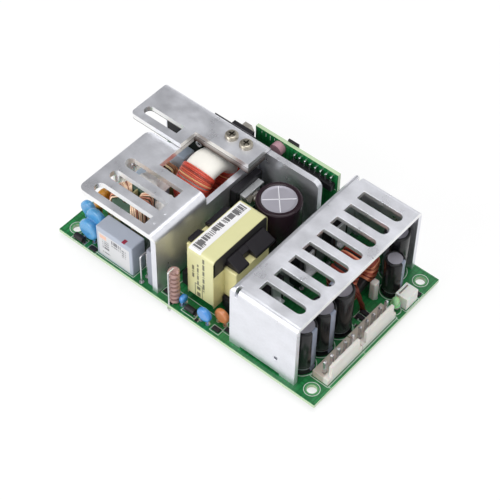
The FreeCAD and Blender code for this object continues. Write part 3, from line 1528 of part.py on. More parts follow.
def friction_header(name, x, y, count, latch_side):
    """A header with its contacts in a low base and a tall latch wall along one side."""
    length = "((%s - 1) * contact_pitch + 2 * connector_end)" % count
    base = block(name + "_base", x, y, "top", "connector_width", length, "connector_base")
    wall_x = x + " + connector_width - latch_thickness" if latch_side > 0 else x
    wall = block(name + "_latch", wall_x, y + " + latch_end", "top", "latch_thickness",
                 length + " - 2 * latch_end",
                 "latch_height")
    ribs = []
    rib_x = wall_x + " - rib_depth" if latch_side > 0 else x + " + latch_thickness"
    for number in range(int(value("rib_count")) - 1):
        rib_y = y + " + connector_end + (%d + 0.5) * contact_pitch - rib_width / 2" % number
        if value(rib_y) + value("rib_width") > value(y) + value(length) - value("latch_end"):
            break
        ribs.append(block("%s_rib_%d" % (name, number + 1), rib_x, rib_y, "top", "rib_depth", "rib_width",
                          "latch_height - rib_width"))
    return join(name, [base, wall] + ribs)


def bored_header(name, x, y, count, latch_side, pins):
    """The same header with a hole for each contact."""
    header = friction_header(name + "_moulding", x, y, count, latch_side)
    contact = x + (" + contact_inset" if latch_side > 0 else " + connector_width - contact_inset")
    bores = []
    for number in pins:
        pin_y = y + " + connector_end + %d * contact_pitch" % number
        bores.append(block("%s_bore_%d" % (name, number + 1),
                           contact + " - pin_size / 2 - sleeve_clearance",
                           pin_y + " - pin_size / 2 - sleeve_clearance", "top - 1",
                           "pin_size + 2 * sleeve_clearance",
                           "pin_size + 2 * sleeve_clearance", "connector_base + 2"))
        contacts.append(contact_post("%s_contact_%d" % (name, number + 1), contact, pin_y))
        solder(contact, pin_y)
    return take_away(name, header, join(name + "_bores", bores))


def contact_post(name, x, y):
    return block(name, x + " - pin_size / 2", y + " - pin_size / 2", "top", "pin_size", "pin_size",
                 "contact_height")


def connectors():
    count = int(value("contact_count"))
    first = bored_header("first_output", "connector_left", "first_connector_y", "contact_count", 1,
                         range(count))
    second = bored_header("second_output", "connector_left",
                          "first_connector_y + connector_length + seat_clearance",
                          "contact_count", 1, range(count))
    keep("output_connectors", group("output_header_pair", [first, second]))
    inlet = bored_header("inlet", "left_edge + inlet_edge",
                         "front_edge + inlet_centre - connector_length / 2",
                         "contact_count", -1, range(0, count, 2))
    keep("inlet_connector", inlet)
    aux_x = "right_edge - aux_edge - aux_width"
    aux_y = "aux_y"
    shell = block("aux_shell", aux_x, aux_y, "top", "aux_width", "aux_length", "aux_height")
    cavity = block("aux_cavity", aux_x + " + aux_wall", aux_y + " + aux_wall", "top + aux_floor",
                   "aux_width - 2 * aux_wall", "aux_length - 2 * aux_wall", "aux_height")
    bores = [cavity]
    for side in (-0.5, 0.5):
        pin_x = aux_x + " + aux_width / 2"
        pin_y = aux_y + " + aux_length / 2 + (%s) * aux_pitch" % side
        name = "aux_contact_%d" % (side + 1.5)
        bores.append(block(name + "_bore", pin_x + " - aux_pin / 2 - sleeve_clearance",
                           pin_y + " - aux_pin / 2 - sleeve_clearance", "top - 1",
                           "aux_pin + 2 * sleeve_clearance",
                           "aux_pin + 2 * sleeve_clearance", "aux_floor + 2"))
        contacts.append(block(name, pin_x + " - aux_pin / 2", pin_y + " - aux_pin / 2", "top", "aux_pin",
                              "aux_pin",
                              "aux_height - aux_wall"))
        solder(pin_x, pin_y)
    keep("aux_connector", take_away("aux_header", shell, join("aux_spaces", bores)))
    keep("connector_pins", group("contact_set", contacts))


def status_lamp():
    """A small round lamp on two leads."""
    radius = value("led_diameter / 2")
    rim = value("led_rim")
    height = value("led_height")
    base = Part.makeCylinder(radius + rim, rim * 2)
    barrel = Part.makeCylinder(radius, height - radius)
    dome = Part.makeSphere(radius, FreeCAD.Vector(0, 0, height - radius))
    shape = base.fuse([barrel, dome]).removeSplitter()
    x = "contact_x + led_shift"
    y = "first_connector_y + 2 * connector_length + seat_clearance + led_gap"
    keep("status_lamp", shaped("status_lamp", shape, x, y, "top + led_lift"))
    legs = []
    for number, side in enumerate((" - ", " + ")):
        legs.append(block("lamp_lead_%d" % (number + 1), x + " - aux_pin / 2",
                          y + side + "leg_pitch / 2 - aux_pin / 2", "top", "aux_pin", "aux_pin",
                          "led_lift"))
        solder(x, y + side + "leg_pitch / 2")
    keep("lamp_leads", group("lamp_lead_pair", legs))


# Control board

def control_board():
    left = "control_x"
    board = block("control_laminate", left, "control_front", "top", "control_length", "control_thickness",
                  "control_height")
    keep("control_board", board)
    strip_left = left + " + control_length - strip_end - strip_count * strip_pitch"
    low = "control_top - strip_drop"
    strip = block("strip_moulding", strip_left, "control_front - strip_depth", low,
                  "strip_count * strip_pitch",
                  "strip_depth", "strip_height")
    keep("control_header", strip)
    pins = []
    size = value("strip_pin")
    for number in range(int(value("strip_count"))):
        x = value(strip_left + " + (%d + 0.5) * strip_pitch" % number)
        y = value("control_front - strip_depth / 2")
        z = value(low + " + strip_height")
        rise = value("strip_rise")
        post = Part.makeBox(size, size, rise, FreeCAD.Vector(x - size / 2, y - size / 2, z))
        arm = Part.makeBox(size, value("strip_depth / 2"), size,
                           FreeCAD.Vector(x - size / 2, y, z + rise - size))
        pins.append(post.fuse(arm).removeSplitter())
    keep("control_pins", shaped("control_pins", Part.makeCompound(pins)))
    chips = []
    front = "control_front - chip_thickness"
    back = "control_front + control_thickness"
    spots = (("front_chip_x", front, "front_chip_drop", "chip_length"),
             ("control_length - low_chip_end - chip_length", front, "low_chip_drop", "chip_length"),
             ("top_chip_x", back, "-top_chip_rise", "chip_length / 2"),
             ("control_length - back_chip_end - chip_length", back, "back_chip_drop", "chip_length"))
    for number, (x, y, drop, length) in enumerate(spots):
        chips.append(block("control_chip_%d" % (number + 1), left + " + " + x, y,
                           "control_top - (%s) - chip_width" % drop, length, "chip_thickness",
                           "chip_width"))
    keep("control_chips", group("control_chip_set", chips))
    can = rod("round_can", strip_left + " - round_gap - round_diameter / 2", "control_front - round_length",
              "control_top - round_drop", "round_diameter / 2", "round_length", "y")
    keep("control_capacitor", can)
    count = int(value("control_lead_count"))
    for number in range(count):
        solder(left + " + control_lead_inset + (control_length - 2 * control_lead_inset) * %d / %d"
               % (number, count - 1), "control_front + control_thickness / 2")


def check_and_export():
    doc.recompute()
    for item in doc.Objects:
        bad = [state for state in item.State if state in ("Invalid", "Error")]
        if bad:
            raise RuntimeError("%s is %s" % (item.Label, bad))
    for label, item in nodes.items():
        if item.Shape.isNull() or not item.Shape.isValid() or not item.Shape.Solids:
            raise RuntimeError(label + " has no sound solid")
    os.makedirs("parts", exist_ok=True)
    for label, item in nodes.items():
        item.Shape.exportStep("parts/%s.step" % label)
    print(len(nodes), "nodes,", sum(len(item.Shape.Solids) for item in nodes.values()), "solids")


fill_sheet()
input_heatsink()
rear_heatsink()
output_heatsink()
arm_screws()
switch_transistor()
rear_rectifier()
output_rectifiers()
bridge_rectifier()
device_screws()
device_legs()
transformer_core()
core_tape()
transformer_bobbin()
transformer_winding()
transformer_label()
bulk_capacitor()
output_capacitors()
film_capacitors()
input_discs()
front_discs()
chokes()
jumper_wire()
rod_choke()
axial_diodes()
fuse()
adhesive()
surface_parts()
connectors()
status_lamp()
control_board()
main_board()
solder_joints()
check_and_export()
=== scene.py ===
import math

import bmesh
import bpy
from mathutils import Matrix, Vector, noise


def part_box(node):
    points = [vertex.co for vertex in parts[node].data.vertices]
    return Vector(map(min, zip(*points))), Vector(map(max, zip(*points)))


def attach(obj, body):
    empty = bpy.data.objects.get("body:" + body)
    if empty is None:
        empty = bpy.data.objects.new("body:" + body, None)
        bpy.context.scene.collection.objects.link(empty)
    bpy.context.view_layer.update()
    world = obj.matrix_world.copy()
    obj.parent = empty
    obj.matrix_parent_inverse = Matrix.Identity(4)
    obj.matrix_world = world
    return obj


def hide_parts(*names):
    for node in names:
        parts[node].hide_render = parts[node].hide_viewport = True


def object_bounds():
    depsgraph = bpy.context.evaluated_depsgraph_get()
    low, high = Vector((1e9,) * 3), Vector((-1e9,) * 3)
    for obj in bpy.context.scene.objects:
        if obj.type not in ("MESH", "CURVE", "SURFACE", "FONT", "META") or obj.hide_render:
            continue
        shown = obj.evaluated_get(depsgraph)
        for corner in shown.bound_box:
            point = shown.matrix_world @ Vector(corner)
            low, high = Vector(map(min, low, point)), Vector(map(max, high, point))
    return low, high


# Looks for an open frame power supply on a bare circuit board. Metres, +Z up.

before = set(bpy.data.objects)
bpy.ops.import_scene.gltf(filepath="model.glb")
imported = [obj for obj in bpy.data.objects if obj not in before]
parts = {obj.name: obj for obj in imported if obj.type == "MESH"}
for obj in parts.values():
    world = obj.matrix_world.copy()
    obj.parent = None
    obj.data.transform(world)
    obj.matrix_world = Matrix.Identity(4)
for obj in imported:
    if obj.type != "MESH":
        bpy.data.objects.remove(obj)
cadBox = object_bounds()
mm = 0.001
boardLow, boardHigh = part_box("main_board")
boardTop = boardHigh.z
print("frame loaded:", len(parts), "parts")

# camera and room, what a user would change
cameraSetup = {"azimuth": 39.121, "elevation": 50.100, "distance": 604.459, "right": 1.109, "up": 1.557,
               "roll": 1.317, "lens": 113.067, "targetHeight": 1.6}
roomSetup = {"floorSize": 3.0, "floorTint": (0.97, 0.97, 0.97), "skyLight": 0.44, "backdropShare": 0.72,
             "backdropGlow": 1.04, "keyPower": 3.7, "topPower": 2.8, "fillPower": 0.4, "backPower": 0.6,
             "cardLevel": 0.22, "cardSize": 2.0, "cardPlace": (-0.42, 0.5, 0.8),
             "lampTarget": (0.0, 0.0, 0.01), "floorGap": 0.00002}
# place and size of each lamp
lampSetup = {"key": ((-0.22, -0.78, 0.40), 0.6), "top": ((0.05, 0.1, 0.8), 0.6),
             "fill": ((0.7, -0.15, 0.4), 0.5), "back": ((-0.2, 0.7, 0.5), 0.5)}


def paint(red, green, blue):
    # a colour as the eye reads it, turned into linear light
    linear = [c / 12.92 if c <= 0.04045 else ((c + 0.055) / 1.055) ** 2.4 for c in (red, green, blue)]
    return (linear[0], linear[1], linear[2], 1.0)


# node helpers

def feed(tree, socket, value):
    # an output of another node is linked, any other value is set
    if isinstance(value, bpy.types.NodeSocket):
        tree.links.new(value, socket)
    else:
        socket.default_value = value


def addNode(tree, kind, settings=None, feeds=None):
    item = tree.nodes.new(kind)
    for key, value in (settings or {}).items():
        setattr(item, key, value)
    for key, value in (feeds or {}).items():
        feed(tree, item.inputs[key], value)
    return item


def doMath(tree, operation, *values):
    return addNode(tree, "ShaderNodeMath", {"operation": operation}, dict(enumerate(values))).outputs[0]


def swing(tree, value, amount):
    # how far a value between 0 and 1 is from its middle, times an amount
    return doMath(tree, "MULTIPLY", doMath(tree, "SUBTRACT", value, 0.5), amount)


def mixColours(tree, factor, first, second):
    return addNode(tree, "ShaderNodeMix", {"data_type": "RGBA"}, {0: factor, 6: first, 7: second}).outputs[2]


def mapValue(tree, value, low, high, newLow, newHigh):
    item = addNode(tree, "ShaderNodeMapRange", {"clamp": True}, {
        0: value, 1: low, 2: high, 3: newLow, 4: newHigh})
    return item.outputs[0]


def axesOf(tree, vector):
    return addNode(tree, "ShaderNodeSeparateXYZ", {}, {0: vector}).outputs


def startGroup(name, inputs, outputs):
    group = bpy.data.node_groups.new(name, "ShaderNodeTree")
    for label, kind, value in inputs:
        socket = group.interface.new_socket(label, in_out="INPUT", socket_type=kind)
        if value is not None:
            socket.default_value = value
    for label, kind in outputs:
        group.interface.new_socket(label, in_out="OUTPUT", socket_type=kind)
    start = group.nodes.new("NodeGroupInput")
    end = group.nodes.new("NodeGroupOutput")
    return group, start, end


def useGroup(tree, group, feeds):
    return addNode(tree, "ShaderNodeGroup", {"node_tree": group}, feeds)


# shader groups shared by several finishes

def makeSurfaceVariation():
    # soft blotches plus fine grain, around 1
    group, start, end = startGroup("surfaceVariation", [
        ("Point", "NodeSocketVector", None), ("Blotch Scale", "NodeSocketFloat", 180.0),
        ("Blotch", "NodeSocketFloat", 0.06), ("Grain", "NodeSocketFloat", 0.04)],
        [("Tint", "NodeSocketFloat"), ("Height", "NodeSocketFloat")])
    put = start.outputs
    blotch = addNode(group, "ShaderNodeTexNoise", {}, {"Vector": put[0], "Scale": put[1], "Detail": 3.0})
    grain = addNode(group, "ShaderNodeTexNoise", {}, {"Vector": put[0], "Scale": 2600.0, "Detail": 2.0})
    wide = swing(group, blotch.outputs[0], put["Blotch"])
    fine = swing(group, grain.outputs[0], put["Grain"])
    total = doMath(group, "ADD", doMath(group, "ADD", wide, fine), 1.0)
    group.links.new(total, end.inputs[0])
    group.links.new(grain.outputs[0], end.inputs[1])
    return group


def makeBoxField():
    # 1 inside a box, 0 outside, with a soft edge
    group, start, end = startGroup("boxField", [
        ("Point", "NodeSocketVector", None), ("Centre", "NodeSocketVector", (0.0, 0.0, 0.0)),
        ("Half Size", "NodeSocketVector", (0.001, 0.001, 0.001)), ("Softness", "NodeSocketFloat", 0.00006)],
        [("Mask", "NodeSocketFloat")])
    put = start.outputs
    away = addNode(group, "ShaderNodeVectorMath", {"operation": "SUBTRACT"}, {0: put[0], 1: put[1]})
    size = addNode(group, "ShaderNodeVectorMath", {"operation": "ABSOLUTE"}, {0: away.outputs[0]})
    over = addNode(group, "ShaderNodeVectorMath", {"operation": "SUBTRACT"}, {0: size.outputs[0], 1: put[2]})
    split = axesOf(group, over.outputs[0])
    most = doMath(group, "MAXIMUM", doMath(group, "MAXIMUM", split[0], split[1]), split[2])
    group.links.new(mapValue(group, most, 0.0, put[3], 1.0, 0.0), end.inputs[0])
    return group


def makeBarField():
    # short dark bars of uneven width along one coordinate
    group, start, end = startGroup("barField", [
        ("Along", "NodeSocketFloat", 0.0), ("Pitch", "NodeSocketFloat", 0.0004),
        ("Share", "NodeSocketFloat", 0.5)],
        [("Mask", "NodeSocketFloat")])
    step = doMath(group, "FLOOR", doMath(group, "DIVIDE", start.outputs[0], start.outputs[1]))
    chance = addNode(group, "ShaderNodeTexWhiteNoise", {"noise_dimensions": "1D"}, {"W": step})
    dark = doMath(group, "LESS_THAN", chance.outputs[0], start.outputs[2])
    group.links.new(dark, end.inputs[0])
    return group


def makeSheetGrain():
    # mill finish: cloudy tint, fine brushed lines along one direction
    group, start, end = startGroup("sheetGrain", [
        ("Point", "NodeSocketVector", None), ("Cloud", "NodeSocketFloat", 0.22),
        ("Lines", "NodeSocketFloat", 0.07)],
        [("Tint", "NodeSocketFloat"), ("Roughness", "NodeSocketFloat")])
    cloud = addNode(group, "ShaderNodeTexNoise", {}, {
        "Vector": start.outputs[0], "Scale": 110.0, "Detail": 3.0, "Roughness": 0.62})
    stretch = addNode(group, "ShaderNodeMapping", {}, {
        "Vector": start.outputs[0], "Scale": (45.0, 900.0, 260.0)})
    lines = addNode(group, "ShaderNodeTexNoise", {}, {
        "Vector": stretch.outputs[0], "Scale": 1.0, "Detail": 3.0})
    fine = addNode(group, "ShaderNodeTexNoise", {}, {
        "Vector": start.outputs[0], "Scale": 1000.0, "Detail": 1.0})
    wide = swing(group, cloud.outputs[0], start.outputs[1])
    thin = swing(group, lines.outputs[0], start.outputs[2])
    dots = swing(group, fine.outputs[0], 0.08)
    total = doMath(group, "ADD", doMath(group, "ADD", doMath(group, "ADD", wide, thin), dots), 1.0)
    group.links.new(total, end.inputs[0])
    group.links.new(mapValue(group, cloud.outputs[0], 0.3, 0.7, 0.26, 0.42), end.inputs[1])
    return group


surfaceVariation = makeSurfaceVariation()
boxField = makeBoxField()
barField = makeBarField()
sheetGrain = makeSheetGrain()
print("shared shader groups built")


# finishes

def startFinish(name, **values):
    material = bpy.data.materials.new(name)
    material.use_nodes = True
    tree = material.node_tree
    shader = tree.nodes["Principled BSDF"]
    for key, value in values.items():
        shader.inputs[key.replace("_", " ")].default_value = value
    point = addNode(tree, "ShaderNodeTexCoord").outputs["Object"]
    return material, tree, shader, point


def addBump(tree, shader, height, strength, distance):
    bump = addNode(tree, "ShaderNodeBump", {}, {"Strength": strength, "Distance": distance, "Height": height})
    tree.links.new(bump.outputs[0], shader.inputs["Normal"])


def closeFinish(material, tree, shader, colour, varied, strength, distance):
    tree.links.new(colour, shader.inputs["Base Color"])
    addBump(tree, shader, varied.outputs["Height"], strength, distance)
    return material


def tinted(tree, colour, tint):
    base = colour if isinstance(colour, bpy.types.NodeSocket) else colour[:3]
    return addNode(tree, "ShaderNodeVectorMath", {"operation": "SCALE"}, {0: base, "Scale": tint}).outputs[0]


def plainFinish(name, colour, blotch=0.10, grain=0.06, bump=0.15, blotchScale=180.0, **values):
    # moulded, coated or cast surface with slight variation
    material, tree, shader, point = startFinish(name, **values)
    varied = useGroup(tree, surfaceVariation, {"Point": point, "Blotch Scale": blotchScale, "Blotch": blotch,
                                               "Grain": grain})
    tree.links.new(tinted(tree, paint(*colour), varied.outputs["Tint"]), shader.inputs["Base Color"])
    rough = shader.inputs["Roughness"].default_value
    tree.links.new(mapValue(tree, varied.outputs["Height"], 0.3, 0.7, rough * 0.85, min(1.0, rough * 1.15)),
                   shader.inputs["Roughness"])
    addBump(tree, shader, varied.outputs["Height"], bump, 0.00006)
    return material


def flatness(tree, axis):
    # how squarely a face looks along one axis
    normal = addNode(tree, "ShaderNodeTexCoord").outputs["Normal"]
    return doMath(tree, "ABSOLUTE", axesOf(tree, normal)[axis])


def sheetFinish(name, topHeight, sheet, seam=None):
    # aluminium sheet; its cut edges carry a painted highlight, brighter than its faces
    material, tree, shader, point = startFinish(name, Metallic=0.80, Roughness=0.36)
    grain = useGroup(tree, sheetGrain, {"Point": point})
    height = axesOf(tree, point)
    upper = doMath(tree, "GREATER_THAN", height[2], topHeight - sheet)
    upright = doMath(tree, "LESS_THAN", flatness(tree, 2), 0.2)
    cut = doMath(tree, "MULTIPLY", upper, upright)
    face = tinted(tree, paint(0.895, 0.90, 0.925), grain.outputs["Tint"])
    # painted highlight: the upright cut edges at the top of the sheet are painted near white
    colour = mixColours(tree, cut, face, paint(0.96, 0.96, 0.96))
    if seam:
        # inner edges behind this line get painted reflection and painted shade in the colours of the parts
        # beside them, more of it lower down
        low, high, behind, shade = seam
        depth = mapValue(tree, height[2], low, high, 1.0, 0.35)
        rear = doMath(tree, "GREATER_THAN", height[1], behind)
        inner = doMath(tree, "MULTIPLY", doMath(tree, "MULTIPLY", upright, rear), depth)
        below = doMath(tree, "MULTIPLY", inner, doMath(tree, "LESS_THAN", height[2], high))
        above = doMath(tree, "GREATER_THAN", height[2], low - 0.0002)
        colour = mixColours(tree, doMath(tree, "MULTIPLY", below, above), colour, paint(*shade))
    tree.links.new(colour, shader.inputs["Base Color"])
    tree.links.new(grain.outputs["Roughness"], shader.inputs["Roughness"])
    return material


def boardFinish(name, faceAxis):
    # green solder mask over copper runs, with a pale laminate edge
    material, tree, shader, point = startFinish(name, Roughness=0.34, Coat_Weight=0.25, Coat_Roughness=0.2)
    turn = (math.pi / 2, 0.0, 0.0) if faceAxis == 1 else (0.0, 0.0, 0.0)
    laid = addNode(tree, "ShaderNodeMapping", {}, {"Vector": point, "Rotation": turn})
    bricks = {"Color1": (1.0, 1.0, 1.0, 1.0), "Mortar": (0.0, 0.0, 0.0, 1.0)}
    first = addNode(tree, "ShaderNodeTexBrick", {"offset": 0.37}, {
        **bricks, "Vector": laid.outputs[0], "Color2": (0.55, 0.55, 0.55, 1.0), "Scale": 62.0,
        "Mortar Size": 0.012, "Brick Width": 0.63, "Row Height": 0.21})
    tilted = addNode(tree, "ShaderNodeMapping", {}, {
        "Vector": laid.outputs[0], "Rotation": (0.0, 0.0, math.pi / 2), "Location": (0.013, 0.004, 0.0)})
    second = addNode(tree, "ShaderNodeTexBrick", {"offset": 0.61}, {
        **bricks, "Vector": tilted.outputs[0], "Color2": (0.4, 0.4, 0.4, 1.0), "Scale": 95.0,
        "Mortar Size": 0.02, "Brick Width": 0.8, "Row Height": 0.17})
    pattern = doMath(tree, "MULTIPLY", first.outputs[0], second.outputs[0])
    varied = useGroup(tree, surfaceVariation, {
        "Point": point, "Blotch Scale": 70.0, "Blotch": 0.16, "Grain": 0.04})
    green = mixColours(tree, pattern, paint(0.06, 0.40, 0.20), paint(0.13, 0.56, 0.29))
    green = tinted(tree, green, varied.outputs["Tint"])
    edge = doMath(tree, "LESS_THAN", flatness(tree, faceAxis), 0.5)
    tree.links.new(mixColours(tree, edge, green, paint(0.74, 0.83, 0.68)), shader.inputs["Base Color"])
    addBump(tree, shader, pattern, 0.3, 0.00004)
    return material


def maskSum(tree, point, fields):
    # several boxes in one mask
    total = None
    for centre, half in fields:
        mask = useGroup(tree, boxField, {"Point": point, "Centre": centre, "Half Size": half}).outputs[0]
        total = mask if total is None else doMath(tree, "MAXIMUM", total, mask)
    return total


def bars(tree, along, pitch, share):
    return useGroup(tree, barField, {"Along": along, "Pitch": pitch, "Share": share}).outputs[0]


# marks on the front line capacitor in mm: middle from the left, depth below the top, half width, half height;
# the tab is given by its place and its half sizes
boxPrint = {"inset": 4.7, "boxHeight": 15.5, "panel": (9.2, 8.6, 7.9, 6.2), "patch": (3.6, 4.3, 1.7, 1.0),
            "marks": ((4.4, 8.4, 2.4, 2.4), (10.6, 5.0, 2.6, 1.9), (14.4, 6.4, 1.2, 2.0),
                      (5.0, 12.6, 2.0, 0.8)),
            "tab": ((14.0, 1.2), (0.75, 1.0, 0.35))}


def lineCapacitorFinish():
    # grey moulded boxes, the rear ones bluer and painted lighter as painted light where the arm shades them;
    # the front one carries a plain printed panel and a crimson tab
    material, tree, shader, point = startFinish("lineCapacitorMoulding", Roughness=0.42)
    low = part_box("line_capacitors")[0]
    left, front, top = low.x + boxPrint["inset"] * mm, low.y, boardTop + boxPrint["boxHeight"] * mm

    def areaOf(marks, deep):
        return maskSum(tree, point, [((left + x * mm, front, top - z * mm), (w * mm, deep * mm, h * mm))
                                     for x, z, w, h in marks])
    varied = useGroup(tree, surfaceVariation, {"Point": point, "Blotch": 0.08, "Grain": 0.05})
    place = axesOf(tree, point)
    rearPaintedLight = doMath(tree, "GREATER_THAN", place[1], -0.02)
    # painted light: the rear boxes are painted lighter where the arm shades them, and bluer
    body = mixColours(tree, rearPaintedLight, paint(0.70, 0.73, 0.79), paint(0.82, 0.89, 0.96))
    colour = tinted(tree, body, varied.outputs["Tint"])
    colour = mixColours(tree, areaOf([boxPrint["panel"]], 0.3), colour, paint(0.84, 0.84, 0.85))
    patch = doMath(tree, "MULTIPLY", areaOf([boxPrint["patch"]], 0.4), 0.8)
    colour = mixColours(tree, patch, colour, paint(0.93, 0.72, 0.60))
    dots = doMath(tree, "MULTIPLY", bars(tree, place[2], 0.0006, 0.6), bars(tree, place[0], 0.00042, 0.62))
    marks = doMath(tree, "MULTIPLY", dots, areaOf(boxPrint["marks"], 0.4))
    colour = mixColours(tree, doMath(tree, "MULTIPLY", marks, 0.8), colour, paint(0.30, 0.30, 0.33))
    (x, y), (wide, deep, tall) = boxPrint["tab"]
    tab = maskSum(tree, point, [((left + x * mm, front + y * mm, top), (wide * mm, deep * mm, tall * mm))])
    colour = mixColours(tree, tab, colour, paint(0.58, 0.08, 0.22))
    return closeFinish(material, tree, shader, colour, varied, 0.12, 0.00005)


# marks on the tape in mm: middle from the left edge, height, half width, half length; then a thin frame
tapePrint = {"columns": ((2.7, 19.6, 0.45, 3.6), (5.1, 19.0, 0.5, 5.9), (7.75, 20.0, 0.5, 9.6)),
             "frame": (3.6, 7.0, 5.4, 13.4), "line": 0.14, "deep": 0.4}


def tapeFinish():
    # pale yellow polyester tape with faint wraps and a few dark printed bars on the front
    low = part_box("core_tape")[0]
    material, tree, shader, point = startFinish("yellowTape", Roughness=0.33, Coat_Weight=0.35,
                                                Coat_Roughness=0.25)
    varied = useGroup(tree, surfaceVariation, {
        "Point": point, "Blotch Scale": 120.0, "Blotch": 0.12, "Grain": 0.03})
    colour = tinted(tree, paint(0.86, 0.85, 0.64), varied.outputs["Tint"])
    split = axesOf(tree, point)
    left, face, line, deep = low.x, low.y, tapePrint["line"] * mm, tapePrint["deep"] * mm
    area = maskSum(tree, point, [((left + c * mm, face, z * mm), (w * mm, deep, h * mm))
                                 for c, z, w, h in tapePrint["columns"]])
    x0, x1, z0, z1 = (v * mm for v in tapePrint["frame"])
    middle, wide, tall = left + (x0 + x1) / 2, x1 - x0, z1 - z0
    rails = [((left + x0, face, (z0 + z1) / 2), (line, deep, tall / 2)),
             ((left + x1, face, (z0 + z1) / 2), (line, deep, tall / 2)),
             ((middle, face, z0), (wide / 2, deep, line)), ((middle, face, z1), (wide / 2, deep, line)),
             ((middle, face, z0 * 0.7 + z1 * 0.3), (wide * 0.24, deep, tall * 0.14)),
             ((middle, face, z0 * 0.25 + z1 * 0.75), (wide * 0.24, deep, tall * 0.11))]
    dots = doMath(tree, "MULTIPLY", bars(tree, split[2], 0.00062, 0.6), bars(tree, split[0], 0.0004, 0.7))
    marks = doMath(tree, "MAXIMUM", doMath(tree, "MULTIPLY", dots, area), maskSum(tree, point, rails))
    colour = mixColours(tree, doMath(tree, "MULTIPLY", marks, 0.85), colour, paint(0.20, 0.20, 0.16))
    return closeFinish(material, tree, shader, colour, varied, 0.12, 0.0001)


# fields on the label: middle across in mm and along as a share of the length, then half sizes the same way
labelPrint = {"margin": 3.0, "field": (-0.2, 0.0, 1.5, 0.42),
              "blocks": ((-0.2, -0.43, 1.9, 0.065), (-0.9, -0.26, 1.2, 0.07), (-0.9, 0.02, 1.1, 0.14),
                         (-0.2, 0.37, 1.7, 0.095))}


def labelFinish():
    # white paper with blocks of bars and a grey field of marks between them
    low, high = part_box("transformer_label")
    middle = (low + high) / 2
    length = high.y - low.y + labelPrint["margin"] * mm
    material, tree, shader, point = startFinish("labelPaper", Roughness=0.55)
    split = axesOf(tree, point)

    def areaOf(fields):
        return maskSum(tree, point, [
            ((middle.x + x * mm, middle.y + length * share, high.z), (w * mm, length * reach, 3 * mm))
            for x, share, w, reach in fields])
    blocks = doMath(tree, "MULTIPLY", bars(tree, split[1], 0.0003, 0.52), areaOf(labelPrint["blocks"]))
    dots = doMath(tree, "MULTIPLY", bars(tree, split[0], 0.00046, 0.6), bars(tree, split[1], 0.00044, 0.62))
    field = doMath(tree, "MULTIPLY", dots, areaOf([labelPrint["field"]]))
    dark = doMath(tree, "MULTIPLY", doMath(tree, "MAXIMUM", blocks, field), 0.86)
    colour = mixColours(tree, dark, paint(0.93, 0.925, 0.93), paint(0.13, 0.13, 0.15))
    varied = useGroup(tree, surfaceVariation, {"Point": point})
    return closeFinish(material, tree, shader, colour, varied, 0.1, 0.00005)


def wireFinish(name, dark, light, paleShare, metallic):
    # enamelled wire; each turn takes its own shade
    material, tree, shader, point = startFinish(name, Metallic=metallic, Roughness=0.34, Coat_Weight=0.3,
                                                Coat_Roughness=0.2)
    shade = addNode(tree, "ShaderNodeAttribute", {"attribute_name": "turnShade"}).outputs["Fac"]
    pale = mapValue(tree, shade, 1.0 - paleShare, 1.0 - paleShare + 0.08, 0.0, 1.0)
    colour = mixColours(tree, pale, paint(*dark), paint(*light))
    level = mapValue(tree, shade, 0.0, 0.75, 0.52, 1.22)
    varied = useGroup(tree, surfaceVariation, {
        "Point": point, "Blotch Scale": 420.0, "Blotch": 0.22, "Grain": 0.06})
    colour = tinted(tree, tinted(tree, colour, level), varied.outputs["Tint"])
    return closeFinish(material, tree, shader, colour, varied, 0.15, 0.00004)


def sleeveFinish(name, colour, stripeColour, stripes):
    # shrunk plastic sleeve; stripes run up it, placed on its own map round the can
    material, tree, shader, point = startFinish(name, Roughness=0.22, Specular_IOR_Level=0.22,
                                                Coat_Weight=0.08, Coat_Roughness=0.08)
    split = axesOf(tree, addNode(tree, "ShaderNodeUVMap", {"uv_map": "round"}).outputs[0])
    total = None
    for centre, half in stripes:
        turned = doMath(tree, "FRACT", doMath(tree, "ADD", split[0], 0.5 - centre))
        away = doMath(tree, "ABSOLUTE", doMath(tree, "SUBTRACT", turned, 0.5))
        mask = mapValue(tree, away, half, half + 0.006, 1.0, 0.0)
        total = mask if total is None else doMath(tree, "MAXIMUM", total, mask)
    varied = useGroup(tree, surfaceVariation, {
        "Point": point, "Blotch Scale": 260.0, "Blotch": 0.2, "Grain": 0.04})
    base = paint(*colour)
    if stripes:
        lower = mapValue(tree, split[1], 0.04, 0.05, 0.0, 1.0)
        base = mixColours(tree, doMath(tree, "MULTIPLY", total, lower), paint(*colour), paint(*stripeColour))
    colour = tinted(tree, base, varied.outputs["Tint"])
    return closeFinish(material, tree, shader, colour, varied, 0.12, 0.00006)


def ringCoreFinish(name, colour, weave, rough):
    # coated ring: a woven or orange-peel skin
    material, tree, shader, point = startFinish(name, Roughness=rough)
    cells = addNode(tree, "ShaderNodeTexVoronoi", {}, {"Vector": point, "Scale": weave})
    varied = useGroup(tree, surfaceVariation, {
        "Point": point, "Blotch Scale": 130.0, "Blotch": 0.16, "Grain": 0.05})
    tree.links.new(tinted(tree, paint(*colour), varied.outputs["Tint"]), shader.inputs["Base Color"])
    addBump(tree, shader, cells.outputs[0], 0.25, 0.00012)
    return material


def screwFinish():
    # plated steel; fine rings in the bump stand for the thread
    material, tree, shader, point = startFinish("platedSteel", Metallic=0.95, Roughness=0.3)
    varied = useGroup(tree, surfaceVariation, {
        "Point": point, "Blotch Scale": 500.0, "Blotch": 0.3, "Grain": 0.1})
    tree.links.new(tinted(tree, paint(0.74, 0.72, 0.69), varied.outputs["Tint"]), shader.inputs["Base Color"])
    split = axesOf(tree, point)
    threadPitch = 0.5 * mm
    across = doMath(tree, "ADD", split[0], split[1])
    thread = doMath(tree, "SINE", doMath(tree, "MULTIPLY", across, 2 * math.pi / threadPitch))
    addBump(tree, shader, thread, 0.5, 0.00012)
    return material


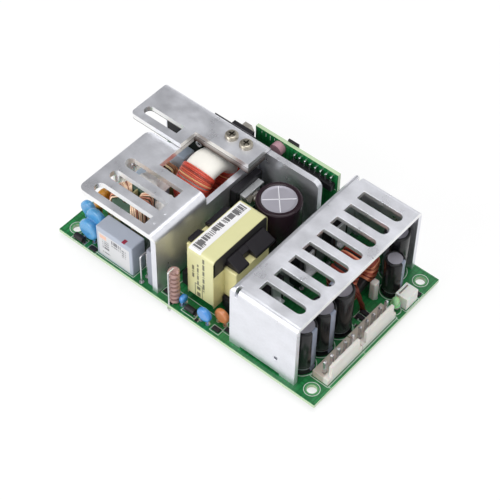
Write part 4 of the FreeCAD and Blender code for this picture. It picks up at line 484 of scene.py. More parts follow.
def armScrewFinish():
    # worn plating, with painted shade down in the driver recess
    material, tree, shader, point = startFinish("armScrewSteel", Metallic=0.9, Roughness=0.3)
    varied = useGroup(tree, surfaceVariation, {
        "Point": point, "Blotch Scale": 700.0, "Blotch": 0.5, "Grain": 0.3})
    height = axesOf(tree, point)
    below = mapValue(tree, height[2], screwTop - 0.0009, screwTop - 0.0003, 1.0, 0.0)
    inside = addNode(tree, "ShaderNodeAmbientOcclusion", {"samples": 8, "only_local": True},
                     {"Distance": 0.0012})
    closed = mapValue(tree, inside.outputs["AO"], 0.35, 0.85, 1.0, 0.0)
    # painted shade: the recess and the low rim are darkened by height and occlusion
    dark = doMath(tree, "MULTIPLY", doMath(tree, "MAXIMUM", below, 0.35), closed)
    plating = tinted(tree, paint(0.66, 0.635, 0.585), varied.outputs["Tint"])
    colour = mixColours(tree, dark, plating, paint(0.13, 0.12, 0.10))
    return closeFinish(material, tree, shader, colour, varied, 0.4, 0.00006)


def headerFinish():
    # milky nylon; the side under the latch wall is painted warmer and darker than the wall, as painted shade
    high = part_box("output_connectors")[1]
    material, tree, shader, point = startFinish("headerNylon", Roughness=0.42, Subsurface_Weight=0.2,
                                                Subsurface_Scale=0.002)
    varied = useGroup(tree, surfaceVariation, {"Point": point, "Blotch": 0.1, "Grain": 0.05})
    split = axesOf(tree, point)
    inner = mapValue(tree, split[0], high.x - 2.6 * mm, high.x - 1.8 * mm, 1.0, 0.0)
    # painted shade on the body away from the latch wall
    colour = mixColours(tree, inner, paint(0.90, 0.89, 0.865), paint(0.74, 0.70, 0.65))
    colour = tinted(tree, colour, varied.outputs["Tint"])
    return closeFinish(material, tree, shader, colour, varied, 0.1, 0.00005)


def fuseFinish():
    # glass tube between two bright caps
    low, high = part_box("fuse")
    capLength = 4.55 * mm
    material, tree, shader, point = startFinish("fuseGlass", Roughness=0.15)
    split = axesOf(tree, point)
    away = doMath(tree, "ABSOLUTE", doMath(tree, "SUBTRACT", split[1], (low.y + high.y) / 2))
    cap = doMath(tree, "GREATER_THAN", away, (high.y - low.y) / 2 - capLength)
    colour = mixColours(tree, cap, paint(0.86, 0.86, 0.82), paint(0.80, 0.80, 0.80))
    tree.links.new(cap, shader.inputs["Metallic"])
    varied = useGroup(tree, surfaceVariation, {"Point": point})
    return closeFinish(material, tree, shader, colour, varied, 0.1, 0.00005)


# sheet thicknesses in mm, where the tab under the arm starts, and the colours of the painted reflection and
# painted shade on the inner edges
sheetSpec = {"plate": 2.5, "hood": 2.0, "tabStart": 11.0, "seam": 0.4, "innerEdgeReflection": (0.36, 0.27, 0.24),
             "seamShade": (0.30, 0.27, 0.27)}
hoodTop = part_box("output_heatsink")[1].z
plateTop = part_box("input_heatsink")[1].z
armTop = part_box("rear_heatsink")[1].z
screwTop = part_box("arm_screws")[1].z
finishes = {
    # the plate's inner edges behind the tab line get painted reflection and painted shade
    "inputSheet": sheetFinish("inputSheet", plateTop, sheetSpec["plate"] * mm,
                              (plateTop - sheetSpec["plate"] * mm, plateTop, sheetSpec["tabStart"] * mm,
                               sheetSpec["innerEdgeReflection"])),
    # the arm's edges just above the plate get painted shade
    "rearSheet": sheetFinish("rearSheet", armTop, sheetSpec["plate"] * mm,
                             (plateTop, plateTop + sheetSpec["seam"] * mm, -0.1, sheetSpec["seamShade"])),
    "hoodSheet": sheetFinish("hoodSheet", hoodTop, sheetSpec["hood"] * mm),
    "boardGreen": boardFinish("boardGreen", 2),
    "controlGreen": boardFinish("controlGreen", 1),
    "solderBright": plainFinish("solderBright", (0.80, 0.80, 0.80), blotch=0.3, bump=0.3, Metallic=0.9,
                                Roughness=0.3),
    "platedSteel": screwFinish(),
    "armScrewSteel": armScrewFinish(),
    "wallBlack": plainFinish("wallBlack", (0.10, 0.10, 0.115), blotch=0.3, Roughness=0.45,
                             Specular_IOR_Level=0.2),
    "tinnedWire": plainFinish("tinnedWire", (0.82, 0.82, 0.83), blotch=0.25, Metallic=0.95, Roughness=0.25),
    "clipSteel": plainFinish("clipSteel", (0.86, 0.87, 0.88), blotch=0.3, bump=0.3, Metallic=0.6,
                             Roughness=0.35),
    "blackMoulding": plainFinish("blackMoulding", (0.135, 0.13, 0.145), blotch=0.3, grain=0.2, bump=0.3,
                                 Roughness=0.45, Specular_IOR_Level=0.25),
    "bobbinMoulding": plainFinish("bobbinMoulding", (0.125, 0.115, 0.135), blotch=0.4, grain=0.3, bump=0.25,
                                  Roughness=0.34, Specular_IOR_Level=0.22),
    "paleMoulding": plainFinish("paleMoulding", (0.66, 0.645, 0.46), Roughness=0.45),
    "whiteMoulding": plainFinish("whiteMoulding", (0.92, 0.915, 0.895), Roughness=0.42,
                                 Subsurface_Weight=0.25, Subsurface_Scale=0.002, bump=0.1),
    "blueCoating": plainFinish("blueCoating", (0.33, 0.63, 0.84), blotch=0.14, bump=0.2, Roughness=0.3,
                               Coat_Weight=0.5, Coat_Roughness=0.15, Subsurface_Weight=0.1,
                               Subsurface_Scale=0.001),
    "deepBlueCoating": plainFinish("deepBlueCoating", (0.24, 0.55, 0.84), blotch=0.35, bump=0.25,
                                   Roughness=0.22, Coat_Weight=0.7, Coat_Roughness=0.1),
    "orangeCoating": plainFinish("orangeCoating", (0.80, 0.50, 0.31), blotch=0.14, Roughness=0.3,
                                 Coat_Weight=0.5),
    "ochreCoating": plainFinish("ochreCoating", (0.80, 0.55, 0.17), blotch=0.2, Roughness=0.28,
                                Coat_Weight=0.6),
    "darkCoating": plainFinish("darkCoating", (0.14, 0.22, 0.18), blotch=0.2, Roughness=0.3, Coat_Weight=0.5),
    "greenFerrite": ringCoreFinish("greenFerrite", (0.27, 0.38, 0.31), 900.0, 0.35),
    "creamFerrite": ringCoreFinish("creamFerrite", (0.95, 0.94, 0.91), 1700.0, 0.55),
    "darkFerrite": ringCoreFinish("darkFerrite", (0.20, 0.195, 0.20), 1200.0, 0.5),
    "copperWire": wireFinish("copperWire", (0.86, 0.56, 0.44), (0.98, 0.84, 0.72), 0.4, 0.2),
    "redWire": wireFinish("redWire", (0.80, 0.30, 0.22), (0.93, 0.71, 0.50), 0.19, 0.2),
    "outputWire": wireFinish("outputWire", (0.68, 0.28, 0.20), (0.86, 0.56, 0.42), 0.35, 0.3),
    "brownWire": wireFinish("brownWire", (0.88, 0.60, 0.42), (1.0, 0.88, 0.70), 0.4, 0.1),
    "rodWire": wireFinish("rodWire", (0.94, 0.76, 0.73), (0.95, 0.80, 0.76), 0.3, 0.1),
    "yellowTape": tapeFinish(),
    "windingTape": plainFinish("windingTape", (0.89, 0.86, 0.63), blotch=0.2, blotchScale=260.0,
                               Roughness=0.35, Coat_Weight=0.3),
    "labelPaper": labelFinish(),
    "lineCapacitor": lineCapacitorFinish(),
    "greyMoulding": plainFinish("greyMoulding", (0.60, 0.61, 0.66), Roughness=0.42),
    "silicone": plainFinish("silicone", (0.985, 0.98, 0.97), blotch=0.04, bump=0.06, Roughness=0.6,
                            Specular_IOR_Level=0.25),
    "canAluminium": plainFinish("canAluminium", (0.67, 0.66, 0.70), blotch=0.12, grain=0.05, Metallic=0.55,
                                Roughness=0.42),
    "ventMetal": plainFinish("ventMetal", (0.90, 0.90, 0.92), Roughness=0.5),
    "purpleSleeve": sleeveFinish("purpleSleeve", (0.155, 0.10, 0.13), (0.6, 0.55, 0.6), []),
    "greySleeve": sleeveFinish("greySleeve", (0.10, 0.10, 0.11), (0.54, 0.57, 0.64), [(0.012, 0.045)]),
    "fuseGlass": fuseFinish(),
    "headerNylon": headerFinish(),
    "lampLens": plainFinish("lampLens", (0.58, 0.80, 0.58), Roughness=0.2, Subsurface_Weight=0.5,
                            Subsurface_Scale=0.002, Coat_Weight=0.6),
    "greyInsulator": plainFinish("greyInsulator", (0.36, 0.355, 0.37), blotch=0.2, Roughness=0.6),
    "pinkCoating": plainFinish("pinkCoating", (0.72, 0.56, 0.60), blotch=0.15, Roughness=0.4),
    "silkWhite": plainFinish("silkWhite", (0.86, 0.90, 0.87), Roughness=0.6),
    "padGreen": plainFinish("padGreen", (0.36, 0.62, 0.40), Roughness=0.35, Coat_Weight=0.3),
}
print("finishes made:", len(finishes))

# carried-over parts: finish for each
looks = {
    "main_board": "boardGreen", "control_board": "controlGreen", "solder_joints": "solderBright",
    "arm_screws": "armScrewSteel", "device_screws": "platedSteel", "device_legs": "tinnedWire",
    "jumper_wire": "tinnedWire", "lamp_leads": "tinnedWire", "rod_choke_lead": "tinnedWire",
    "line_capacitors": "lineCapacitor", "transformer_winding": "windingTape",
    "output_capacitors": "canAluminium", "status_lamp": "lampLens",
    "line_choke_core": "greenFerrite", "filter_choke_core": "darkFerrite",
    "output_choke_core": "darkFerrite", "fuse": "fuseGlass", "rear_insulator": "greyInsulator",
    "control_capacitor": "pinkCoating", "axial_diodes": "blackMoulding", "film_capacitor": "greyMoulding",
}
for label, finish in looks.items():
    for holder in parts[label].material_slots:
        holder.material = finishes[finish]
print("carried-over parts finished:", len(looks))


# mesh helpers

def meshFrom(shape, name, sort=True):
    # closes the shape; sorting turns its faces outward
    if sort:
        bmesh.ops.recalc_face_normals(shape, faces=shape.faces[:])
    mesh = bpy.data.meshes.new(name)
    shape.to_mesh(mesh)
    shape.free()
    return mesh


def finishPiece(name, mesh, finish, replaced=(), smooth=35.0):
    piece = bpy.data.objects.new(name, mesh)
    bpy.context.scene.collection.objects.link(piece)
    mesh.materials.clear()
    mesh.materials.append(finishes[finish])
    if smooth is not None:
        for face in mesh.polygons:
            face.use_smooth = True
        mesh.set_sharp_from_angle(angle=math.radians(smooth))
    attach(piece, "root")
    if replaced:
        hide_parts(*replaced)


def weldedShape(label):
    shape = bmesh.new()
    shape.from_mesh(parts[label].data)
    bmesh.ops.remove_doubles(shape, verts=shape.verts[:], dist=0.000002)
    return shape


def mergedCopy(label, flatten=True):
    # the part's triangles joined into clean faces
    shape = weldedShape(label)
    if flatten:
        bmesh.ops.dissolve_limit(shape, angle_limit=math.radians(0.6), verts=shape.verts[:],
                                 edges=shape.edges[:])
    return meshFrom(shape, label + "Base", False)


def bakedMesh(data, add=None):
    # puts data on a stand-in object, with modifiers if there are any, and gives back the plain mesh
    stand = bpy.data.objects.new("standIn", data)
    bpy.context.scene.collection.objects.link(stand)
    if add:
        add(stand)
    bpy.context.view_layer.update()
    result = bpy.data.meshes.new_from_object(stand.evaluated_get(bpy.context.evaluated_depsgraph_get()))
    bpy.data.objects.remove(stand)
    return result


def softMesh(mesh, width, segments=2, angle=40.0):
    # sharp edges broken, flat faces kept flat
    for face in mesh.polygons:
        face.use_smooth = True

    def add(stand):
        bevel = stand.modifiers.new("edges", "BEVEL")
        bevel.width = width * mm
        bevel.segments = segments
        bevel.limit_method = "ANGLE"
        bevel.angle_limit = math.radians(angle)
        bevel.use_clamp_overlap = True
        even = stand.modifiers.new("even", "WEIGHTED_NORMAL")
        even.mode = "FACE_AREA"
        even.weight = 100
        even.keep_sharp = False
    return bakedMesh(mesh, add)


def softened(label, name, finish, width, mesh=None):
    finishPiece(name, softMesh(mesh or mergedCopy(label), width), finish, [label], None)


def dipped(label, name, finish, voxel, rounds, wobble):
    # a coat that has run and set: remeshed, relaxed and slightly uneven
    def add(stand):
        remesh = stand.modifiers.new("skin", "REMESH")
        remesh.mode = "VOXEL"
        remesh.voxel_size = voxel * mm
        relax = stand.modifiers.new("relax", "SMOOTH")
        relax.factor = 0.5
        relax.iterations = rounds
    mesh = bakedMesh(mergedCopy(label, False), add)
    low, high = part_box(label)
    for corner in mesh.vertices:
        push = noise.noise(corner.co * 420.0) * wobble * mm
        corner.co = corner.co + corner.normal * push
        for axis in range(3):
            corner.co[axis] = min(max(corner.co[axis], low[axis]), high[axis])
    finishPiece(name, mesh, finish, [label], 180.0)


def skinLoops(shape, loops, closed=False):
    # quads between each loop of corners and the next; closed joins the last loop to the first
    after = loops[1:] + loops[:1] if closed else loops[1:]
    for one, two in zip(loops, after):
        for side in range(len(one)):
            other = (side + 1) % len(one)
            shape.faces.new((one[side], one[other], two[other], two[side]))


def circlePoints(x, y, radius, count=48):
    return [(x + radius * math.cos(2 * math.pi * i / count), y + radius * math.sin(2 * math.pi * i / count))
            for i in range(count)]


# broken edges on metal and mouldings

softSpecs = {
    "input_heatsink": ("inputPlate", "inputSheet", "sheet_aluminium", 0.28),
    "rear_heatsink": ("rearPlate", "rearSheet", "sheet_aluminium", 0.28),
    "output_heatsink": ("hoodPlate", "hoodSheet", "sheet_aluminium", 0.24),
    "transistor_clip": ("switchClip", "clipSteel", "plated_steel", 0.12),
    "rectifier_clips": ("rectifierClips", "clipSteel", "plated_steel", 0.12),
    "switch_transistor": ("switchBody", "blackMoulding", "black_moulding", 0.25),
    "rear_rectifier": ("rearRectifierBody", "blackMoulding", "black_moulding", 0.22),
    "output_rectifiers": ("outputRectifierBodies", "blackMoulding", "black_moulding", 0.22),
    "bridge_rectifier": ("bridgeBody", "blackMoulding", "black_moulding", 0.3),
    "control_header": ("controlHeaderBody", "blackMoulding", "black_moulding", 0.12),
    "control_chips": ("controlChipBodies", "blackMoulding", "black_moulding", 0.1),
    "surface_parts": ("lowParts", "blackMoulding", "black_moulding", 0.1),
    "output_connectors": ("outputHeaders", "headerNylon", "white_moulding", 0.16),
    "inlet_connector": ("inletHeader", "whiteMoulding", "white_moulding", 0.16),
    "aux_connector": ("auxHeader", "whiteMoulding", "white_moulding", 0.16),
    "output_resistor": ("cementResistor", "whiteMoulding", "white_moulding", 0.2),
    "choke_stands": ("chokeStands", "paleMoulding", "pale_moulding", 0.2),
}
for label, (name, finish, slot, width) in softSpecs.items():
    softened(label, name, finish, width)
print("edges broken on", len(softSpecs), "parts")

dipSpecs = {
    "line_disc_capacitors": ("lineDiscs", "blueCoating", "blue_coating", 0.25, 6, 0.08),
    "ceramic_capacitors": ("frontBeads", "deepBlueCoating", "blue_coating", 0.2, 5, 0.05),
    "snubber_capacitor": ("snubberDisc", "orangeCoating", "orange_coating", 0.22, 5, 0.05),
    "surge_varistor": ("varistorDisc", "ochreCoating", "ochre_coating", 0.25, 6, 0.08),
    "thermistor": ("thermistorDisc", "darkCoating", "dark_coating", 0.3, 5, 0.06),
    "silicone_adhesive": ("siliconeMass", "silicone", "silicone", 0.35, 10, 0.7),
}
for label, (name, finish, slot, voxel, rounds, wobble) in dipSpecs.items():
    dipped(label, name, finish, voxel, rounds, wobble)
print("dipped coats made:", len(dipSpecs))


# transformer: rounded core and tape, bobbin with thick flanges, taped winding, label over the front edge

formerSpec = {"coreRound": 1.8, "tapeThick": 0.4, "wrapReach": 6.0, "wrapLow": 8.3, "wrapHigh": 23.5,
              "legDepth": 5.6, "sideTapeTop": 22.4, "notchWidth": 4.0, "notchDepth": 3.4, "notchShift": 0.4,
              "flangeInset": 6.8, "backInset": 2.6, "flangeTop": 27.4, "flangeEdge": 24.8,
              "ridge": 0.8, "railReach": 6.6, "railLow": 2.4, "railTop": 8.4, "railOver": 1.2,
              "sideTape": 0.22, "labelFront": 2.4, "labelBack": 1.2, "labelThick": 0.1}


def roundedAlongX(label, name, finish, radius, offsets):
    # rounds the long corners that run along X
    low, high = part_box(label)
    shape = bmesh.new()
    shape.from_mesh(mergedCopy(label))
    for inset in offsets:
        corners = [(low.y + inset, low.z + inset), (low.y + inset, high.z - inset),
                   (high.y - inset, low.z + inset), (high.y - inset, high.z - inset)]
        chosen = []
        for edge in shape.edges:
            first, second = edge.verts[0].co, edge.verts[1].co
            if abs(first.y - second.y) > 0.00002 or abs(first.z - second.z) > 0.00002:
                continue
            if any(abs(first.y - y) < 0.00005 and abs(first.z - z) < 0.00005 for y, z in corners):
                chosen.append(edge)
        if chosen:
            bmesh.ops.bevel(shape, geom=chosen, offset=radius * mm - inset, segments=5, affect="EDGES",
                            profile=0.5)
    softened(label, name, finish, 0.12, meshFrom(shape, name, False))


def cutMesh(mesh, low, high):
    # takes a box out of a mesh
    shape = bmesh.new()
    addBlock(shape, low, high)
    cutter = bpy.data.objects.new("cutter", meshFrom(shape, "cutter"))
    bpy.context.scene.collection.objects.link(cutter)

    def add(stand):
        cut = stand.modifiers.new("cut", "BOOLEAN")
        cut.operation = "DIFFERENCE"
        cut.solver = "EXACT"
        cut.object = cutter
    result = bakedMesh(mesh, add)
    bpy.data.objects.remove(cutter)
    return result


def addBlock(shape, low, high):
    corners = [(x, y, z) for x in (low[0], high[0]) for y in (low[1], high[1]) for z in (low[2], high[2])]
    verts = [shape.verts.new(c) for c in corners]
    for face in ((0, 1, 3, 2), (4, 6, 7, 5), (0, 4, 5, 1), (2, 3, 7, 6), (0, 2, 6, 4), (1, 5, 7, 3)):
        shape.faces.new([verts[i] for i in face])


def blockPiece(name, blocks, finish, bevel=0.0, segments=2):
    shape = bmesh.new()
    for low, high in blocks:
        addBlock(shape, low, high)
    mesh = meshFrom(shape, name)
    if bevel:
        mesh = softMesh(mesh, bevel, segments)
    finishPiece(name, mesh, finish, (), None if bevel else 20.0)


def dressTransformer():
    spec = formerSpec
    coreLow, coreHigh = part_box("transformer_core")
    bobLow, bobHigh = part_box("transformer_bobbin")
    roundedAlongX("transformer_core", "coreHalves", "darkFerrite", spec["coreRound"], (0.0,))
    roundedAlongX("core_tape", "tapeBand", "yellowTape", spec["coreRound"] + spec["tapeThick"],
                  (0.0, spec["tapeThick"] * mm))
    wrapLow, wrapHigh = spec["wrapLow"] * mm, spec["wrapHigh"] * mm
    reach = spec["wrapReach"] * mm
    front, back = coreLow.y + spec["legDepth"] * mm, coreHigh.y - spec["legDepth"] * mm
    middle = (coreLow.y + coreHigh.y) / 2
    mesh = mergedCopy("transformer_bobbin")
    # the windings' tape and new sloping flanges take the place of the plain flanges outside the core
    for x0, x1 in ((coreHigh.x + 0.05 * mm, bobHigh.x + mm), (bobLow.x - mm, coreLow.x - 0.05 * mm)):
        mesh = cutMesh(mesh, (x0, bobLow.y - mm, spec["railTop"] * mm), (x1, bobHigh.y + mm, bobHigh.z + mm))
    softened("transformer_bobbin", "bobbin", "bobbinMoulding", 0.2, mesh)
    notch = middle - spec["notchShift"] * mm
    half = spec["notchWidth"] / 2 * mm
    first, last = coreLow.y + spec["flangeInset"] * mm, coreHigh.y - spec["backInset"] * mm
    wraps, rails, tapes = [], [], []
    shape = bmesh.new()
    for face, way, flange in ((coreHigh.x, 1.0, bobHigh.x), (coreLow.x, -1.0, bobLow.x)):
        outer = face + way * reach
        wraps.append(((min(face, outer), front, wrapLow), (max(face, outer), back, wrapHigh)))
        inner, edge = face + way * 0.1 * mm, flange
        root = edge - way * spec["notchDepth"] * mm
        roof = [(inner, wrapHigh), (edge, wrapHigh), (edge, spec["flangeEdge"] * mm),
                (inner + way * spec["ridge"] * mm, spec["flangeTop"] * mm), (inner, spec["flangeTop"] * mm)]
        addPrism(shape, roof, first, notch - half)
        addPrism(shape, roof, notch + half, last)
        slope = (spec["flangeTop"] - spec["flangeEdge"]) / (abs(edge - inner) / mm - spec["ridge"])
        atRoot = (spec["flangeEdge"] + slope * spec["notchDepth"]) * mm
        addPrism(shape, [(inner, wrapHigh), (root, wrapHigh), (root, atRoot), roof[3], roof[4]], notch - half,
                 notch + half)
        foot = face + way * spec["railReach"] * mm
        over = spec["railOver"] * mm
        rails.append(((min(inner, foot), front - over, spec["railLow"] * mm),
                      (max(inner, foot), back + over, spec["railTop"] * mm)))
        skin = face + way * spec["sideTape"] * mm
        for y0, y1 in ((coreLow.y - 0.3 * mm, front + 0.2 * mm), (back - 0.2 * mm, coreHigh.y + 0.3 * mm)):
            tapes.append(((min(face, skin), y0, coreLow.z - 0.2 * mm),
                          (max(face, skin), y1, spec["sideTapeTop"] * mm)))
    mesh = softMesh(meshFrom(shape, "bobbinFlanges"), 0.22, 2, 20.0)
    finishPiece("bobbinFlanges", mesh, "bobbinMoulding", (), None)
    blockPiece("windingWrap", wraps, "windingTape", 0.5, 3)
    blockPiece("pinRails", rails, "bobbinMoulding", 0.6)
    blockPiece("sideTapes", tapes, "windingTape", 0.08)


def addPrism(shape, outline, first, last):
    # an outline in X and Z drawn out along Y
    near = [shape.verts.new((x, first, z)) for x, z in outline]
    far = [shape.verts.new((x, last, z)) for x, z in outline]
    shape.faces.new(near)
    shape.faces.new(far[::-1])
    skinLoops(shape, [near, far])


def bendLabel():
    # the paper follows the top and turns a little over the front edge
    spec = formerSpec
    low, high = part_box("transformer_label")
    tapeLow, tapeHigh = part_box("core_tape")
    radius = (spec["coreRound"] + spec["tapeThick"]) * mm
    first, last = low.y - spec["labelFront"] * mm, high.y + spec["labelBack"] * mm
    steps = 60
    shape = bmesh.new()
    rows = []
    for step in range(steps + 1):
        y = first + (last - first) * step / steps
        into = max(0.0, tapeLow.y + radius - y, y - (tapeHigh.y - radius))
        drop = radius - math.sqrt(max(0.0, radius ** 2 - min(into, radius * 0.98) ** 2))
        top = high.z - drop
        under = top - spec["labelThick"] * mm
        rows.append([shape.verts.new((x, y, z))
                     for x, z in ((low.x, top), (high.x, top), (high.x, under), (low.x, under))])
    skinLoops(shape, rows)
    shape.faces.new(rows[0][::-1])
    shape.faces.new(rows[-1])
    mesh = meshFrom(shape, "paperLabel")
    finishPiece("paperLabel", mesh, "labelPaper", ["transformer_label"], 40.0)


dressTransformer()
bendLabel()
print("transformer dressed")


# a thin black sheet over the rear wall behind the chokes, with a small eyelet

blackSheetSpec = {"face": 22.9, "left": -61.4, "right": -16.0, "low": 7.0, "high": 32.6, "thick": 0.15,
            "eyelet": (-44.3, 14.6, 1.15, 0.42), "eyeletGap": 0.3, "around": 24, "section": 8}


def rearBlackSheet():
    spec = blackSheetSpec
    face = spec["face"] * mm
    blockPiece("wallBlackSheet", [((spec["left"] * mm, face - spec["thick"] * mm, spec["low"] * mm),
                             (spec["right"] * mm, face, spec["high"] * mm))], "wallBlack")
    x, z, ring, wire = spec["eyelet"]
    shape = bmesh.new()
    loops = []
    for step in range(spec["around"]):
        turn = 2 * math.pi * step / spec["around"]
        loop = []
        for side in range(spec["section"]):
            bend = 2 * math.pi * side / spec["section"]
            reach = (ring + wire * math.cos(bend)) * mm
            away = (spec["eyeletGap"] + wire * math.sin(bend)) * mm
            loop.append(shape.verts.new((x * mm + reach * math.cos(turn), face - away,
                                         z * mm + reach * math.sin(turn))))
        loops.append(loop)
    skinLoops(shape, loops, True)
    finishPiece("wallEyelet", meshFrom(shape, "wallEyelet"), "ventMetal")


rearBlackSheet()
print("rear film set")


# geometry node helpers

def startTree(name, inputs):
    tree = bpy.data.node_groups.new(name, "GeometryNodeTree")
    tree.interface.new_socket("Geometry", in_out="INPUT", socket_type="NodeSocketGeometry")
    for label, kind in inputs:
        tree.interface.new_socket(label, in_out="INPUT", socket_type=kind)
    tree.interface.new_socket("Geometry", in_out="OUTPUT", socket_type="NodeSocketGeometry")
    start = tree.nodes.new("NodeGroupInput")
    end = tree.nodes.new("NodeGroupOutput")
    return tree, start, end


def closeTree(tree, start, end, geometry):
    whole = addNode(tree, "GeometryNodeRealizeInstances", {}, {0: geometry})
    smooth = addNode(tree, "GeometryNodeSetShadeSmooth", {}, {0: whole.outputs[0]})
    dressed = addNode(tree, "GeometryNodeSetMaterial", {}, {
        0: smooth.outputs[0], "Material": start.outputs["Material"]})
    tree.links.new(dressed.outputs[0], end.inputs[0])


def growMesh(tree, values, points=()):
    # runs a tree on a stand-in object and gives back the plain mesh
    seedMesh = bpy.data.meshes.new("seedPoints")
    seedMesh.from_pydata(points, [], [])
    sockets = {item.name: item.identifier for item in tree.interface.items_tree
               if item.item_type == "SOCKET" and item.in_out == "INPUT"}

    def add(stand):
        modifier = stand.modifiers.new("grow", "NODES")
        modifier.node_group = tree
        for key, value in values.items():
            modifier[sockets[key]] = value
    return bakedMesh(seedMesh, add)


def joinMeshes(meshes, name):
    shape = bmesh.new()
    for mesh in meshes:
        shape.from_mesh(mesh)
    return meshFrom(shape, name, False)


def moved(tree, geometry, way, turn=(0.0, 0.0, 0.0)):
    return addNode(tree, "GeometryNodeTransform", {}, {
        "Geometry": geometry, "Translation": way, "Rotation": turn}).outputs[0]


def joined(tree, *items):
    both = addNode(tree, "GeometryNodeJoinGeometry")
    for item in items:
        tree.links.new(item, both.inputs[0])
    return both.outputs[0]


def onPoints(tree, start, item):
    return addNode(tree, "GeometryNodeInstanceOnPoints", {}, {
        "Points": start.outputs["Geometry"], "Instance": item}).outputs[0]


def wireProfile(tree, wire, sides):
    return addNode(tree, "GeometryNodeCurvePrimitiveCircle", {"mode": "RADIUS"}, {
        "Resolution": sides, "Radius": doMath(tree, "MULTIPLY", wire, 0.5)}).outputs[0]


# wire turns round a ring

def makeRingTurns():
    tree, start, end = startTree("ringTurns", [
        ("Outer", "NodeSocketFloat"), ("Inner", "NodeSocketFloat"), ("Width", "NodeSocketFloat"),
        ("Wire", "NodeSocketFloat"), ("Lift", "NodeSocketFloat"), ("Corner", "NodeSocketFloat"),
        ("First", "NodeSocketFloat"), ("Last", "NodeSocketFloat"), ("Turns", "NodeSocketInt"),
        ("Wander", "NodeSocketFloat"), ("Seed", "NodeSocketInt"), ("Place", "NodeSocketVector"),
        ("Tilt", "NodeSocketVector"), ("Material", "NodeSocketMaterial")])
    put = start.outputs
    line = addNode(tree, "GeometryNodeMeshLine", {"mode": "OFFSET"}, {
        "Count": put["Turns"], "Offset": (0.0, 0.0, 0.0)})
    shade = addNode(tree, "FunctionNodeRandomValue", {"data_type": "FLOAT"}, {"Seed": put["Seed"]})
    stored = addNode(tree, "GeometryNodeStoreNamedAttribute", {"data_type": "FLOAT", "domain": "POINT"},
                     {"Geometry": line.outputs[0], "Name": "turnShade"})
    tree.links.new(shade.outputs[1], stored.inputs["Value"])
    index = addNode(tree, "GeometryNodeInputIndex").outputs[0]
    share = doMath(tree, "DIVIDE", doMath(tree, "ADD", index, 0.5), put["Turns"])
    span = doMath(tree, "SUBTRACT", put["Last"], put["First"])
    wander = addNode(tree, "FunctionNodeRandomValue", {"data_type": "FLOAT"}, {"Seed": 7})
    drift = swing(tree, wander.outputs[1], put["Wander"])
    lean = addNode(tree, "FunctionNodeRandomValue", {"data_type": "FLOAT"}, {"Seed": 19})
    slant = swing(tree, lean.outputs[1], put["Wander"])
    even = doMath(tree, "ADD", doMath(tree, "MULTIPLY", share, span), put["First"])
    angle = doMath(tree, "ADD", even, drift)
    turn = addNode(tree, "ShaderNodeCombineXYZ", {}, {0: angle, 1: 0.0, 2: slant})
    doubleLift = doMath(tree, "MULTIPLY", put["Lift"], 2.0)
    wide = doMath(tree, "ADD", doMath(tree, "ADD", put["Width"], doubleLift), put["Wire"])
    depth = doMath(tree, "MULTIPLY", doMath(tree, "SUBTRACT", put["Outer"], put["Inner"]), 0.5)
    tall = doMath(tree, "ADD", doMath(tree, "ADD", depth, doubleLift), put["Wire"])
    loop = addNode(tree, "GeometryNodeCurvePrimitiveQuadrilateral", {"mode": "RECTANGLE"},
                   {"Width": tall, "Height": tall})
    bend = addNode(tree, "GeometryNodeFilletCurve", {"mode": "POLY"}, {
        "Curve": loop.outputs[0], "Radius": doMath(tree, "MULTIPLY", put["Corner"], tall), "Count": 5})
    ratio = doMath(tree, "DIVIDE", wide, tall)
    stretch = addNode(tree, "ShaderNodeCombineXYZ", {}, {0: ratio, 1: 1.0, 2: 1.0})
    mean = doMath(tree, "MULTIPLY", doMath(tree, "ADD", put["Outer"], put["Inner"]), 0.25)
    outward = addNode(tree, "ShaderNodeCombineXYZ", {}, {0: 0.0, 1: mean, 2: 0.0})
    placed = addNode(tree, "GeometryNodeTransform", {}, {
        "Geometry": bend.outputs[0], "Translation": outward.outputs[0], "Scale": stretch.outputs[0]})
    turns = addNode(tree, "GeometryNodeInstanceOnPoints", {}, {
        "Points": stored.outputs[0], "Instance": placed.outputs[0], "Rotation": turn.outputs[0]})
    real = addNode(tree, "GeometryNodeRealizeInstances", {}, {0: turns.outputs[0]})
    tube = addNode(tree, "GeometryNodeCurveToMesh", {}, {
        "Curve": real.outputs[0], "Profile Curve": wireProfile(tree, put["Wire"], 8)})
    tilted = addNode(tree, "GeometryNodeTransform", {}, {
        "Geometry": tube.outputs[0], "Translation": put["Place"], "Rotation": put["Tilt"]})
    closeTree(tree, start, end, tilted.outputs[0])
    return tree


# ring as outer, inner and width, and the wire, in mm; arcs in degrees; every winding has two layers
windings = {
    "line_choke": {"ring": (15.0, 7.6, 11.0), "wire": 0.62, "corner": 0.24, "arcs": ((35, 145), (215, 325)),
                   "flat": True, "finish": "copperWire", "slot": "copper_wire", "seed": 3},
    "filter_choke": {"ring": (8.6, 4.4, 5.5), "wire": 0.5, "corner": 0.28, "arcs": ((-75, 255),),
                     "flat": False, "finish": "brownWire", "slot": "brown_wire", "seed": 5},
    "boost_choke": {"ring": (26.0, 13.0, 13.5), "wire": 0.66, "corner": 0.46, "arcs": ((112, 380),),
                    "flat": False, "finish": "redWire", "slot": "red_copper_wire", "seed": 11},
    "output_choke": {"ring": (19.0, 9.5, 9.0), "wire": 0.9, "corner": 0.30, "arcs": ((-60, 240),),
                     "flat": False, "finish": "outputWire", "slot": "copper_wire", "seed": 13},
}
# space between a ring and its wire in mm
windingGap = 0.3
ringTurns = makeRingTurns()


